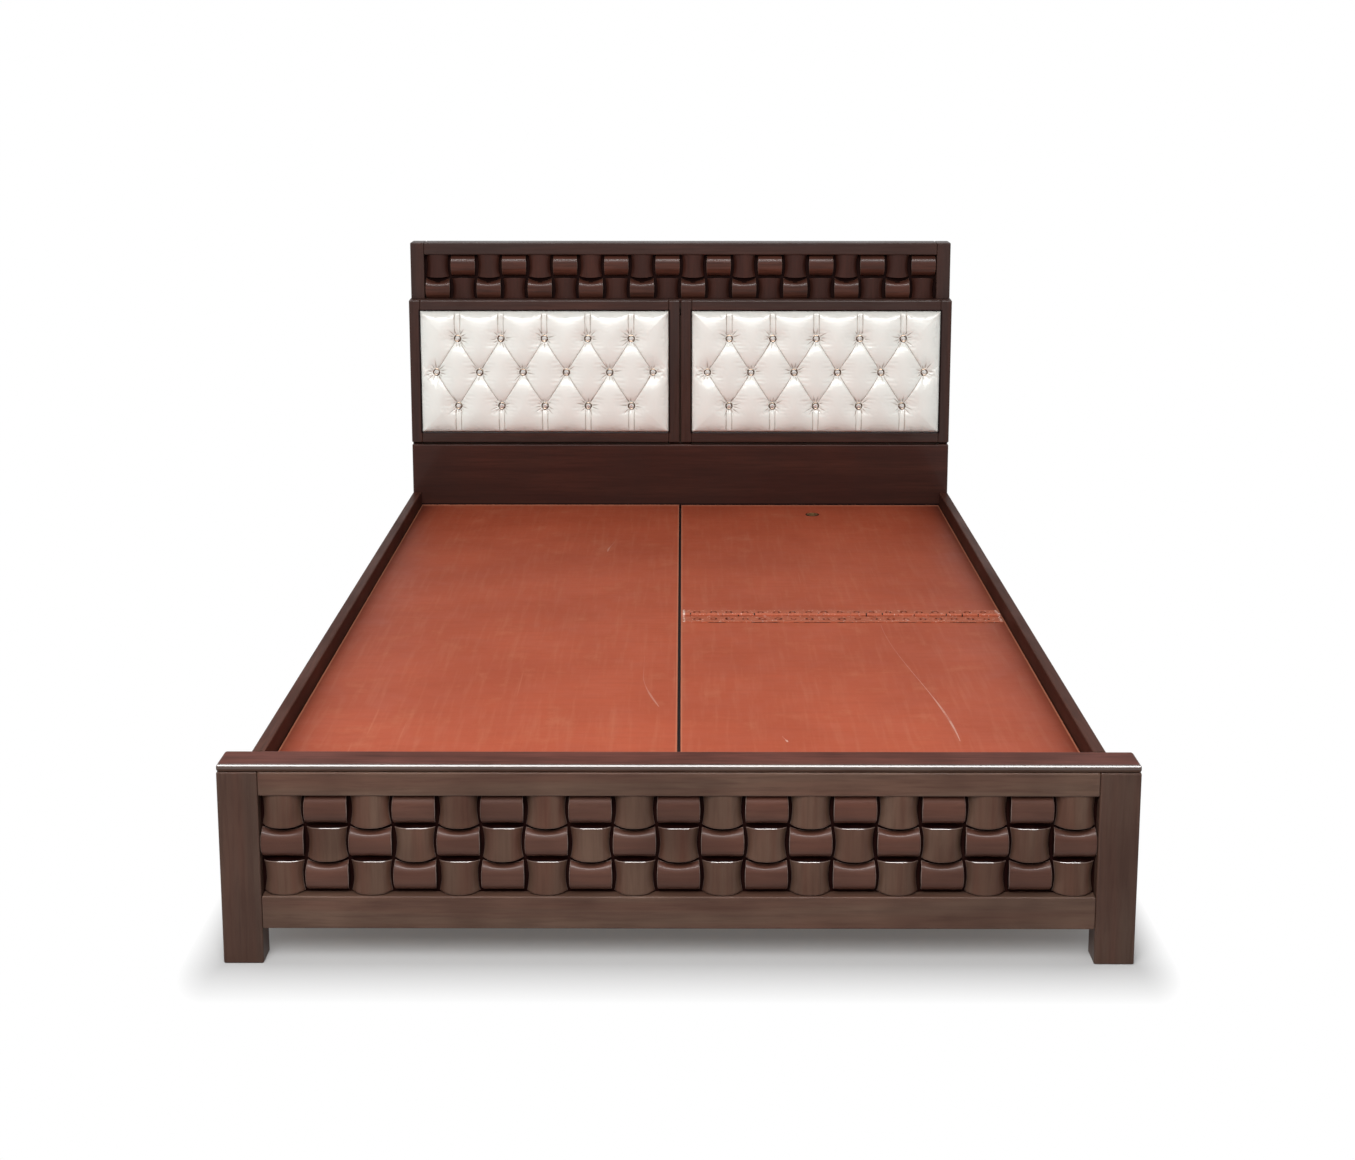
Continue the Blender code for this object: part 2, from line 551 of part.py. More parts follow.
def build_headboard():
    """Posts, rails, woven band, bays and lower panel of the head end."""
    opening = (-HALF_HEAD_OPENING, HALF_HEAD_OPENING)
    band = (BAND_FRONT, HEAD_BACK)
    for name, side in SIDES.items():
        strip = mirrored(side, HALF_HEAD_OPENING, HALF_OUTER)
        board(f"head_post_{name}", strip, band, (GROUND, HEAD_HEIGHT), WALNUT, edge=TIMBER_EDGE)
        board(f"head_cheek_{name}", strip, (PANEL_BACK, BAND_FRONT), (GROUND_CLEARANCE, LEDGE_BOTTOM), WALNUT)
    board("head_top_rail", opening, band, (BAND_TOP, HEAD_HEIGHT), WALNUT, edge=TIMBER_EDGE)
    board("head_mid_rail", opening, (BAND_FRONT, BACK_PANEL_FRONT), (MID_RAIL_BOTTOM, BAND_BOTTOM), WALNUT)
    woven_panel("head_woven_panel", HALF_HEAD_OPENING, BAND_BOTTOM, HEAD_WEAVE_COLUMNS, HEAD_WEAVE_ROWS,
                HEAD_WEAVE_ROW, BAND_FRONT + HEAD_WEAVE_RECESS)
    board("head_back_panel", opening, (BACK_PANEL_FRONT, HEAD_BACK), (BAY_FLOOR_BOTTOM, BAND_TOP), RAW_PLY)
    full = (-HALF_OUTER, HALF_OUTER)
    board("head_ledge", full, (DOOR_BACK + DOOR_BACK_GAP, BAND_FRONT), (LEDGE_BOTTOM, DOOR_TOP), WALNUT)
    board("head_bay_floor", opening, (PANEL_BACK, BACK_PANEL_FRONT), (BAY_FLOOR_BOTTOM, LOWER_PANEL_TOP),
          WALNUT)
    half_divider = BAY_DIVIDER_THICKNESS / 2
    board("head_bay_divider", (-half_divider, half_divider), (PANEL_BACK, BACK_PANEL_FRONT),
          (LOWER_PANEL_TOP, MID_RAIL_BOTTOM), WALNUT)
    board("head_lower_panel", full, (HEAD_FRONT, PANEL_BACK), (GROUND_CLEARANCE, LOWER_PANEL_TOP), WALNUT,
          edge=PANEL_EDGE, segments=3)
    board("head_bearer", (-HALF_INNER, HALF_INNER), (HEAD_FRONT - BEARER_THICKNESS, HEAD_FRONT),
          (BEARER_BOTTOM, PLATFORM_BOTTOM), PINE)
    board("door_catch", (-CATCH_HALF_WIDTH, CATCH_HALF_WIDTH), (DOOR_BACK + STRIKE_THICKNESS, BAND_FRONT),
          (LEDGE_BOTTOM - CATCH_HEIGHT, LEDGE_BOTTOM), CATCH_PLASTIC)


def pillow(x, z, column_pitch, row_pitch):
    """How far a point stands out between the pleats: 0 on a pleat or button, 1 on a pillow's crown.

    The pleats run slantwise from button to button, and straight on from the outer buttons to the rim.
    """
    reach_x = column_pitch * (BUTTON_COLUMNS - 1) / 2
    across = max(-reach_x, min(reach_x, x)) / column_pitch + BUTTON_COLUMNS / 2 - 0.5
    up = max(-row_pitch, min(row_pitch, z)) / row_pitch / 2
    return math.sqrt(abs(math.sin(math.pi * (across + up)) * math.sin(math.pi * (across - up))))


def even_lines(half, margin_half, pitch):
    """Grid lines that meet every button, with a few more between the outer buttons and the rim."""
    count = round(margin_half / pitch * PAD_STEPS)
    inner = [pitch * step / PAD_STEPS for step in range(-count, count + 1)]
    rim = half - margin_half
    outer = [margin_half + rim * share for share in PAD_RIM_LINES]
    return sorted([-place for place in outer] + inner + outer)


def tufted_pad(name, x_span, z_span, back, parent):
    """A button-tufted pad: pillows between slanting pleats, a rolled rim and a flat back."""
    half_width = (x_span[1] - x_span[0]) / 2 - PAD_GAP
    half_height = (z_span[1] - z_span[0]) / 2 - PAD_GAP
    column_pitch = 2 * (half_width - BUTTON_SIDE_MARGIN) / (BUTTON_COLUMNS - 1)
    row_pitch = half_height - BUTTON_ROW_MARGIN
    rim_y = HEAD_FRONT + PAD_EDGE_STEP
    bm = bmesh.new()
    add_box(bm, (-half_width, 0, -half_height), (half_width, back - SEAT - rim_y, half_height))
    front = min(bm.faces, key=lambda face: face.calc_center_median().y)
    outer_column = column_pitch * (BUTTON_COLUMNS - 1) / 2
    strips = split_face(bm, front, X_AXIS, even_lines(half_width, outer_column, column_pitch / 2))
    lines = even_lines(half_height, row_pitch, row_pitch)
    cells = [cell for strip in strips for cell in split_face(bm, strip, Z_AXIS, lines)]

    def rise(x, z):
        inset = min(half_width - abs(x), half_height - abs(z), PAD_ROLL) / PAD_ROLL
        roll = math.sqrt(max(0, 1 - (1 - inset) ** 2))
        return roll * (PAD_CROWN - PAD_TUFT * (1 - pillow(x, z, column_pitch, row_pitch)))

    for vert in {vert for cell in cells for vert in cell.verts}:
        vert.co.y -= rise(vert.co.x, vert.co.z)
    for cell in cells:
        corners = cell.verts[:]
        valley = max((corners[0::2], corners[1::2]), key=lambda pair: pair[0].co.y + pair[1].co.y)
        bmesh.utils.face_split(cell, *valley)
    middle = Vector((sum(x_span) / 2, rim_y, sum(z_span) / 2))
    pad = finished(bm, name, location=middle, finish=LEATHERETTE, parent=parent)

    buttons = bmesh.new()
    for row in (-1, 0, 1):
        count = BUTTON_COLUMNS - abs(row)
        for column in range(count):
            x = column_pitch * (column - (count - 1) / 2)
            z = row * row_pitch
            place = Matrix.Translation((x, -rise(x, z) - BUTTON_HEIGHT * (0.5 - BUTTON_SUNK), z))
            bmesh.ops.create_cone(buttons, cap_ends=True, segments=BUTTON_SIDES, radius1=BUTTON_RADIUS,
                                  radius2=BUTTON_FACE_RADIUS, depth=BUTTON_HEIGHT,
                                  matrix=place @ Matrix.Rotation(math.pi / 2, 4, "X"))
    shape_with(pad, hidden_cutter(buttons, name + "_buttons", middle), "UNION")
    return pad


def build_door(name, side):
    """A framed, padded drop-front door on a hinge along its lower edge."""
    axis = axis_empty(f"door_{name}_axis", DOOR_AXIS)
    inner, outer = DOOR_CENTRE_GAP / 2, HALF_OUTER
    depth = (HEAD_FRONT, DOOR_BACK)
    between = mirrored(side, inner + DOOR_FRAME, outer - DOOR_FRAME)
    height = (DOOR_BOTTOM, DOOR_TOP)
    opening = (DOOR_BOTTOM + DOOR_FRAME, DOOR_TOP - DOOR_FRAME)
    prefix = f"door_{name}_"
    timber = {"finish": WALNUT, "parent": axis, "edge": TIMBER_EDGE}
    board(prefix + "inner_stile", mirrored(side, inner, inner + DOOR_FRAME), depth, height, **timber)
    board(prefix + "outer_stile", mirrored(side, outer - DOOR_FRAME, outer), depth, height, **timber)
    board(prefix + "bottom_rail", between, depth, (DOOR_BOTTOM, opening[0]), **timber)
    board(prefix + "top_rail", between, depth, (opening[1], DOOR_TOP), **timber)
    board_front = DOOR_BACK - DOOR_BACK_BOARD
    board(prefix + "back_board", between, (board_front, DOOR_BACK), opening, RAW_PLY, parent=axis)
    tufted_pad(prefix + "pad", between, opening, board_front, axis)
    strike_inner = inner + STRIKE_INSET
    board(prefix + "strike", mirrored(side, strike_inner, strike_inner + STRIKE_WIDTH),
          (DOOR_BACK, DOOR_BACK + STRIKE_THICKNESS), (LEDGE_BOTTOM - CATCH_HEIGHT, LEDGE_BOTTOM), STEEL,
          parent=axis)

    x_span = mirrored(side, inner + DOOR_HINGE_INSET, outer - DOOR_HINGE_INSET)
    barrel = {"axis": DOOR_AXIS, "reach": 1, "radius": DOOR_BOTTOM_GAP / 2 - SEAT,
              "plate": DOOR_LEAF_THICKNESS, "width": DOOR_LEAF_WIDTH, "knuckles": DOOR_KNUCKLES,
              "finish": BRONZE, "pin_radius": DOOR_PIN_RADIUS}
    hinge_leaf(prefix + "hinge_fixed_leaf", x_span, level=-1, own=0, solid_pin=True, **barrel)
    hinge_leaf(prefix + "hinge_moving_leaf", x_span, level=1, own=1, parent=axis, **barrel)


def smooth_round_pieces():
    """Shade the round and padded pieces smooth, with their real corners kept sharp."""
    for piece in PARTS.objects:
        if piece.type == "MESH" and any(word in piece.name for word in ("hinge", "ring", "pad", "woven")):
            piece.data.shade_smooth()
            piece.data.set_sharp_from_angle(angle=SHARP_ANGLE)


build_footboard()
build_side_rails()
build_well()
build_platform()
build_headboard()
for door_name, door_side in SIDES.items():
    build_door(door_name, door_side)
smooth_round_pieces()
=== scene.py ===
"""The looks of the storage bed: stage, finishes, woven blocks, tufted pads, crystal buttons and hinge screws.

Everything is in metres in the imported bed's own frame: +Z up, +Y from the footboard to the headboard.
"""

import math
import random

import bmesh
import bpy
from bpy.props import FloatProperty, FloatVectorProperty, IntProperty, PointerProperty
from mathutils import Matrix, Vector


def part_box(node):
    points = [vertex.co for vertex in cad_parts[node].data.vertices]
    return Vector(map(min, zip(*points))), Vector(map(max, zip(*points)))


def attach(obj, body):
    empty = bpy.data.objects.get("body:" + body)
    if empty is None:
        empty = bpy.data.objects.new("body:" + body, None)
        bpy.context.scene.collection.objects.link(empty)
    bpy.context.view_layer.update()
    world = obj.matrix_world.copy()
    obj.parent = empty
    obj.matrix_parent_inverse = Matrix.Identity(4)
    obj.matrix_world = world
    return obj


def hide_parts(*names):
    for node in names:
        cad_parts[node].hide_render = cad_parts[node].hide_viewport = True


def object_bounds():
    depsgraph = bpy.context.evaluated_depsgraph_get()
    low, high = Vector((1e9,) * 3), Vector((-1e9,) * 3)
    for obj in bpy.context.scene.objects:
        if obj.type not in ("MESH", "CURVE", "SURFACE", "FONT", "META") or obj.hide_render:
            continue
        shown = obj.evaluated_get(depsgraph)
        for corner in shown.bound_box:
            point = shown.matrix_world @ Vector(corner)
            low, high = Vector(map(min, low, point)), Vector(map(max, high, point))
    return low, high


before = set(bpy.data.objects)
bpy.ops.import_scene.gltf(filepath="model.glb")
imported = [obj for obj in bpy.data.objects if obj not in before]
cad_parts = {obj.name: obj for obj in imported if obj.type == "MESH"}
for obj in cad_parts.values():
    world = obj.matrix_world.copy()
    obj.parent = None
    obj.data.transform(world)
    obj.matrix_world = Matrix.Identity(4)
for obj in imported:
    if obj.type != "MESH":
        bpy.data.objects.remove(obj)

bl_info = {
    "name": "Storage bed looks",
    "version": (1, 0, 0),
    "blender": (4, 5, 0),
    "location": "View3D > Sidebar > Storage bed",
    "description": "Dresses the packed storage bed with its finishes, woven blocks and tufted pads",
    "category": "Object",
}

CAD_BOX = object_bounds()
MM = 0.001
PHOTO_SENSOR = 36.0  # mm across the photograph's long side
X_AXIS = Vector((1, 0, 0))
Y_AXIS = Vector((0, 1, 0))
Z_AXIS = Vector((0, 0, 1))
DOORS = {"left": "left_door", "right": "right_door"}
SMOOTH_ANGLE = math.radians(38)
PAD_ANGLE = math.radians(70)  # a pad's faces fold sharply only past this
SIDE_FACE = 0.3  # a block's side faces point less than this towards the foot end
WIRE_STEPS = 8  # sides of a button rim's wire
RIM_STEPS = 24  # sides of a button's rim
FACETS = 8  # facets round a crystal
SCREW_STEPS = 20  # sides of a screw
CREASE_SHADE = 0.75  # how far a crease, a pucker and a button's dent shade the cover
PUCKER_SHADE = 0.85
DENT_SHADE = 0.10
LAMP_AIM = Vector((0, 0, 0.4))  # the middle of the bed, which the lamps face


def linear(hex_colour):
    """Turn an sRGB hex colour into linear red, green, blue and a full alpha."""
    channels = [int(hex_colour[place:place + 2], 16) / 255 for place in (1, 3, 5)]
    return [c / 12.92 if c <= 0.04045 else ((c + 0.055) / 1.055) ** 2.4 for c in channels] + [1.0]


def length(name, description, default):
    """A length that a user may change."""
    return FloatProperty(name=name, description=description, default=default, precision=4, unit="LENGTH")


def amount(name, description, default):
    """A plain number that a user may change."""
    return FloatProperty(name=name, description=description, default=default)


def angle(name, description, default):
    """An angle that a user may change."""
    return FloatProperty(name=name, description=description, default=default, unit="ROTATION")


def whole(name, description, default):
    """A whole number that a user may change."""
    return IntProperty(name=name, description=description, default=default)


def spot(name, description, default):
    """A place that a user may change."""
    return FloatVectorProperty(name=name, description=description, default=default, size=3, unit="LENGTH")


def shade(name, description, hex_colour):
    """A colour that a user may change."""
    return FloatVectorProperty(name=name, description=description, default=linear(hex_colour), size=4,
                               subtype="COLOR", min=0.0, max=1.0)


class WeaveSizes(bpy.types.PropertyGroup):
    """Sizes of the woven blocks."""
    foot_columns: whole("Foot columns", "Blocks across the footboard", 19)
    foot_rows: whole("Foot rows", "Rows of blocks in the footboard", 3)
    head_columns: whole("Head columns", "Blocks across the headboard", 20)
    head_rows: whole("Head rows", "Rows of blocks in the headboard", 2)
    foot_gap: length("Foot gap", "From a cell's border to its block in the footboard", 0.0026)
    head_gap: length("Head gap", "From a cell's border to its block in the headboard", 0.0034)
    margin: length("Margin", "From a cell's border to its block, up and down", 0.0012)
    edge: length("Edge", "Height of a block's low edges above the board", 0.004)
    arch: length("Arch", "Rise of a block from its low edges to its crown", 0.016)
    bow: length("Bow", "Bulge of an upright block's ends", 0.0032)
    foot_dip: length("Foot dip", "Sag of a lying block's top edge in the footboard", 0.0075)
    head_dip: length("Head dip", "Sag of a lying block's top edge in the headboard", 0.010)
    flatness: amount("Flatness", "Power of a block's arch: 2 is round", 4.0)
    waist: length("Waist", "How far a block's sides draw in", 0.0038)
    rim: length("Rim", "Chamfer of a block's rim", 0.0011)
    lift: length("Lift", "How far a lying block stops short of its cell's lower border", 0.005)
    stand: length("Stand", "How far an upright block stops short of its cell's lower border", 0.0028)
    steps: whole("Steps", "Grid steps across a block", 10)


class NosingSizes(bpy.types.PropertyGroup):
    """Sizes of the bead along the footboard's cap."""
    radius: length("Radius", "Radius of the twelve-sided bead", 0.0055)
    inset: length("Inset", "From the cap's corner to the bead's middle, both ways", 0.0048)
    short: length("Short", "From the cap's end to the bead's end", 0.003)


class PadSizes(bpy.types.PropertyGroup):
    """Sizes of the tufted pads and of their stuffing."""
    rim_step: length("Rim step", "From the door frame's face back to the pad's rim", 0.001)
    crown: length("Crown", "Rise of the cover from the rim", 0.022)
    rim_rise: length("Rim rise", "Part of that rise which the tight rim takes", 0.006)
    rim_width: length("Rim width", "Width of the tight rim", 0.006)
    roll: length("Roll", "Width over which the rest of the rise eases out", 0.075)
    tuft: length("Tuft", "Depth of a button's dimple", 0.013)
    dimple: length("Dimple", "Width of a button's dimple", 0.020)
    valley: length("Valley", "Depth of the hollow along a pleat", 0.004)
    valley_width: length("Valley width", "Width of the hollow along a pleat", 0.012)
    side_margin: length("Side margin", "From the pad's side to the middle row's outer buttons", 0.045)
    row_margin: length("Row margin", "From the pad's top or bottom to the next row of buttons", 0.079)
    columns: whole("Columns", "Buttons in the middle row", 6)
    grid: length("Grid", "Spacing of the cloth's points", 0.005)
    pleat: length("Pleat", "Half the width of a slanting pleat, or 0 for a single crease", 0.0)
    border_pleat: length("Border pleat", "Half the width of an upright pleat in the border", 0.0080)
    crease_depth: length("Crease depth", "Depth of a pleat's creases", 0.0018)
    crease_width: length("Crease width", "Half the width of a crease", 0.0014)
    puckers: whole("Puckers", "Puckers round a button", 14)
    pucker_depth: length("Pucker depth", "Depth of a pucker", 0.0011)
    pucker_width: length("Pucker width", "Half the width of a pucker", 0.0012)
    pucker_reach: length("Pucker reach", "How far the longest pucker runs from a button", 0.042)
    swell: length("Swell", "The most that stuffing moves the cloth", 0.008)
    pressure: amount("Pressure", "Push of the stuffing on the cloth", 20.0)
    slack: amount("Slack", "Spare cloth, as a share of its length", 0.006)
    frames: whole("Frames", "Steps of the cloth's simulation", 12)
    # painted shade along the pad's foot, where the cover curves under, and below its top, where it dims the
    # gloss
    pad_foot_shade: amount("Foot shade", "How far the cover is browned along its foot", 0.13)
    pad_top_shade: amount("Top shade", "How far the cover is dulled along its top", 0.18)
    pad_foot_shade_reach: length("Foot shade reach", "How far up from the pad's foot the browning runs", 0.085)
    pad_top_shade_reach: length("Top shade reach", "How far down from the pad's top the dulling runs", 0.030)
    pad_top_shade_full: length("Top shade full", "From the pad's top to where the dulling is full", 0.012)
    soft_edge: length("Soft edge", "Width inside the pad's edge where pleats and puckers ease out", 0.012)
    dent_near: length("Dent near", "Round a button's middle, where the dent's shade is full", 0.008)
    dent_far: length("Dent far", "Round a button's middle, where the dent's shade ends", 0.030)
    button_clear: length("Button clear", "Round a button, where no pleat or pucker shows", 0.0105)


class ButtonSizes(bpy.types.PropertyGroup):
    """Sizes of the crystal buttons."""
    ring: length("Ring", "Radius of the metal rim's wire circle", 0.0090)
    wire: length("Wire", "Radius of the rim's wire", 0.0025)
    crystal: length("Crystal", "Radius of the cut crystal", 0.0074)
    table: length("Table", "Radius of the crystal's flat top", 0.0036)
    height: length("Height", "Height of the crystal", 0.0042)


class HingeSizes(bpy.types.PropertyGroup):
    """Sizes of the lid hinge's screws."""
    pitch: length("Pitch", "Spacing of the screws along the hinge", 0.038)
    row: length("Row", "From the hinge's axis to a row of screws", 0.0260)
    plate: length("Plate", "Thickness of a leaf", 0.0015)
    well: length("Well", "Radius of a screw's countersunk well", 0.0105)
    head: length("Head", "Radius of a screw's head", 0.0050)
    lip: length("Lip", "Height of the paint built up round a well", 0.0007)
    stray: length("Stray", "The most that a screw sits off its place", 0.0014)
    uneven: amount("Uneven", "The most that paint has narrowed a well", 0.3)


class Finishes(bpy.types.PropertyGroup):
    """Colours of the bed's finishes."""
    walnut: shade("Walnut", "Stained timber", "#4C3A31")
    walnut_dark: shade("Dark walnut", "Dark streaks of the stain", "#2E1A14")
    walnut_red: shade("Red walnut", "Where the stain lies thin", "#583328")
    walnut_light: shade("Light walnut", "Footboard's rails", "#5F493D")
    walnut_cap: shade("Cap walnut", "Redder cap rail", "#6E3F36")
    # A darker walnut that paints shade: on the headboard's blocks and lower panel, and on the side rails'
    # inner faces
    walnut_shade: shade("Deep walnut", "Headboard's blocks and lower panel", "#3D211B")
    # A darker walnut that paints the shade on the headboard's posts and frames
    walnut_head_shade: shade("Head walnut", "Headboard's posts and frames", "#3D2D29")
    walnut_block: shade("Block walnut", "Footboard's lying blocks", "#573A30")
    # A pale colour painted on the blocks' rims as a highlight, under a real gloss
    walnut_rim_highlight: shade("Block rims", "Burnished rims of the blocks", "#7A6860")
    # A pale colour painted along the edges as a highlight
    walnut_edge_highlight: shade("Rubbed walnut", "Edges rubbed paler", "#6E5044")
    # Stain pooled behind the blocks, darkened further as painted shade; the same colour paints shade round
    # the pads, on the lower panel, under the seam, round the finger ring and at the blocks' burnt edges, and
    # darkens the hinge's knuckle gaps
    recess_stain_and_shade: shade("Recess", "Stain pooled behind the blocks", "#170605")
    paint: shade("Red oxide paint", "Painted platform", "#BC5A3D")
    paint_dark: shade("Dark paint", "Thicker coats of the paint", "#9F452B")
    paint_worn: shade("Worn paint", "Paint rubbed pale", "#CB8567")
    primer: shade("Bare scratch", "Filler that shows in a scratch", "#E6CFC2")
    # A dark colour: painted shade along the platform's rails, and painted shade with dirt in the screws'
    # wells
    grime: shade("Grime", "Dirt that gathers on the paint", "#3A150E")
    ply: shade("Bare ply", "Unfinished ply", "#B98F66")
    ply_dark: shade("Ply grain", "Dark grain of the ply", "#94683F")
    pine: shade("Pine", "Bare pine batten", "#CDA877")
    pine_dark: shade("Pine rings", "Late wood of the pine", "#A97C48")
    leather: shade("Pearl leatherette", "Padding's cover", "#F5F6F0")
    # A warmer, darker colour painted as shade in the cover's folds
    leather_shade: shade("Leatherette fold", "Cover where it folds in", "#8F7C6C")
    zinc: shade("Zinc", "Plated steel", "#B4B2AD")
    bronze: shade("Bronzed steel", "Door hinges", "#17100D")
    brass: shade("Brass", "Finger ring, rubbed dull", "#A98860")
    rim: shade("Button rim", "Metal rim of a button", "#74665A")
    crystal: shade("Crystal", "Foil-backed cut glass", "#F4F1EC")
    plastic: shade("Catch plastic", "Moulded catch", "#3B2A22")
    floor: shade("Floor", "Pale studio floor", "#BABABA")


class StageSizes(bpy.types.PropertyGroup):
    """Places of the camera and the lights."""
    camera: spot("Camera", "Where the camera stands", (0.0073, -4.1545, 1.6562))
    tilt: angle("Tilt", "How far the camera looks down", 0.1581)
    turn: angle("Turn", "How far the camera turns left", 0.003)
    lens: amount("Lens", "Focal length in millimetres", 47.05)
    shift: amount("Shift", "Vertical shift of the frame", -0.1749)
    key: spot("Key light", "Where the main softbox hangs", (-0.5, -3.4, 3.0))
    key_size: length("Key size", "Side of the main softbox", 2.2)
    key_power: amount("Key power", "Watts of the main softbox", 168.0)
    strip: spot("Strip light", "Where the strip light for gloss hangs", (0.0, -2.3, 3.3))
    strip_length: length("Strip length", "Length of the strip light across the bed", 4.4)
    strip_width: length("Strip width", "Width of the strip light", 0.8)
    strip_power: amount("Strip power", "Watts of the strip light", 240.0)
    sheen: spot("Sheen light", "Where the light for the pads' sheen hangs", (0.0, -1.2, 1.6))
    sheen_length: length("Sheen length", "Length of the sheen light across the bed", 2.4)
    sheen_width: length("Sheen width", "Width of the sheen light", 0.35)
    sheen_power: amount("Sheen power", "Watts of the sheen light", 13.0)
    fill_distance: length("Fill distance", "From the bed's middle to the fill lights", 3.5)
    fill_height: length("Fill height", "Height of the fill lights' middles", 0.9)
    fill_size: FloatVectorProperty(name="Fill size", description="Length and height of a fill light", size=2,
                                   unit="LENGTH", default=(2.4, 1.0))
    back_power: amount("Back power", "Watts of the fill light behind the bed", 60.0)
    side_power: amount("Side power", "Watts of the fill light on each side", 14.0)
    ambient: amount("Ambient", "Strength of the white room's light", 0.20)
    floor_reach: length("Floor reach", "Half the side of the floor", 9.0)
    fade_near: length("Fade near", "From the bed's outline to where the floor starts to fade", 0.0)
    side_fade: amount("Side fade", "How much faster the floor fades beside the bed", 1.8)
    fade_far: length("Fade far", "From the bed's outline to where the floor is plain white", 0.14)


class StorageBedLooks(bpy.types.PropertyGroup):
    """All that a user may change in the bed's looks."""
    weave: PointerProperty(type=WeaveSizes)
    nosing: PointerProperty(type=NosingSizes)
    pads: PointerProperty(type=PadSizes)
    buttons: PointerProperty(type=ButtonSizes)
    hinge: PointerProperty(type=HingeSizes)
    finishes: PointerProperty(type=Finishes)
    stage: PointerProperty(type=StageSizes)


def fill(tree, made, inputs):
    """Give a node's inputs their values, or link them where a node or a socket is given."""
    for socket, value in inputs.items():
        if isinstance(value, bpy.types.Node):
            value = value.outputs[0]
        if isinstance(value, bpy.types.NodeSocket):
            tree.links.new(value, made.inputs[socket])
        else:
            made.inputs[socket].default_value = value


def node(tree, kind, inputs=None, **settings):
    """Add one shader node with its settings and its inputs."""
    made = tree.nodes.new("ShaderNode" + kind)
    for name, value in settings.items():
        setattr(made, name, value)
    fill(tree, made, inputs or {})
    return made


def new_material(name):
    """A material with its node tree, its Principled shader and its piece's own coordinates."""
    material = bpy.data.materials.new(name)
    material.use_nodes = True
    tree = material.node_tree
    return material, tree, tree.nodes["Principled BSDF"], node(tree, "TexCoord").outputs["Object"]


def coats(tree, colour, *layers):
    """Lay coats of colour over a ground one after another, each by its own share from 0 to 1."""
    for share, coat in layers:
        colour = node(tree, "Mix", {0: share, 6: colour, 7: coat}, data_type="RGBA").outputs[2]
    return colour


def edge_mask(tree, width, start=0.985, full=0.85):
    """0 on flat faces and 1 along the edges of a piece."""
    soft = node(tree, "Bevel", {"Radius": width}, samples=4)
    flat = node(tree, "NewGeometry").outputs["Normal"]
    meet = node(tree, "VectorMath", {0: soft, 1: flat}, operation="DOT_PRODUCT").outputs["Value"]
    return node(tree, "MapRange", {"Value": meet, "From Min": start, "From Max": full})


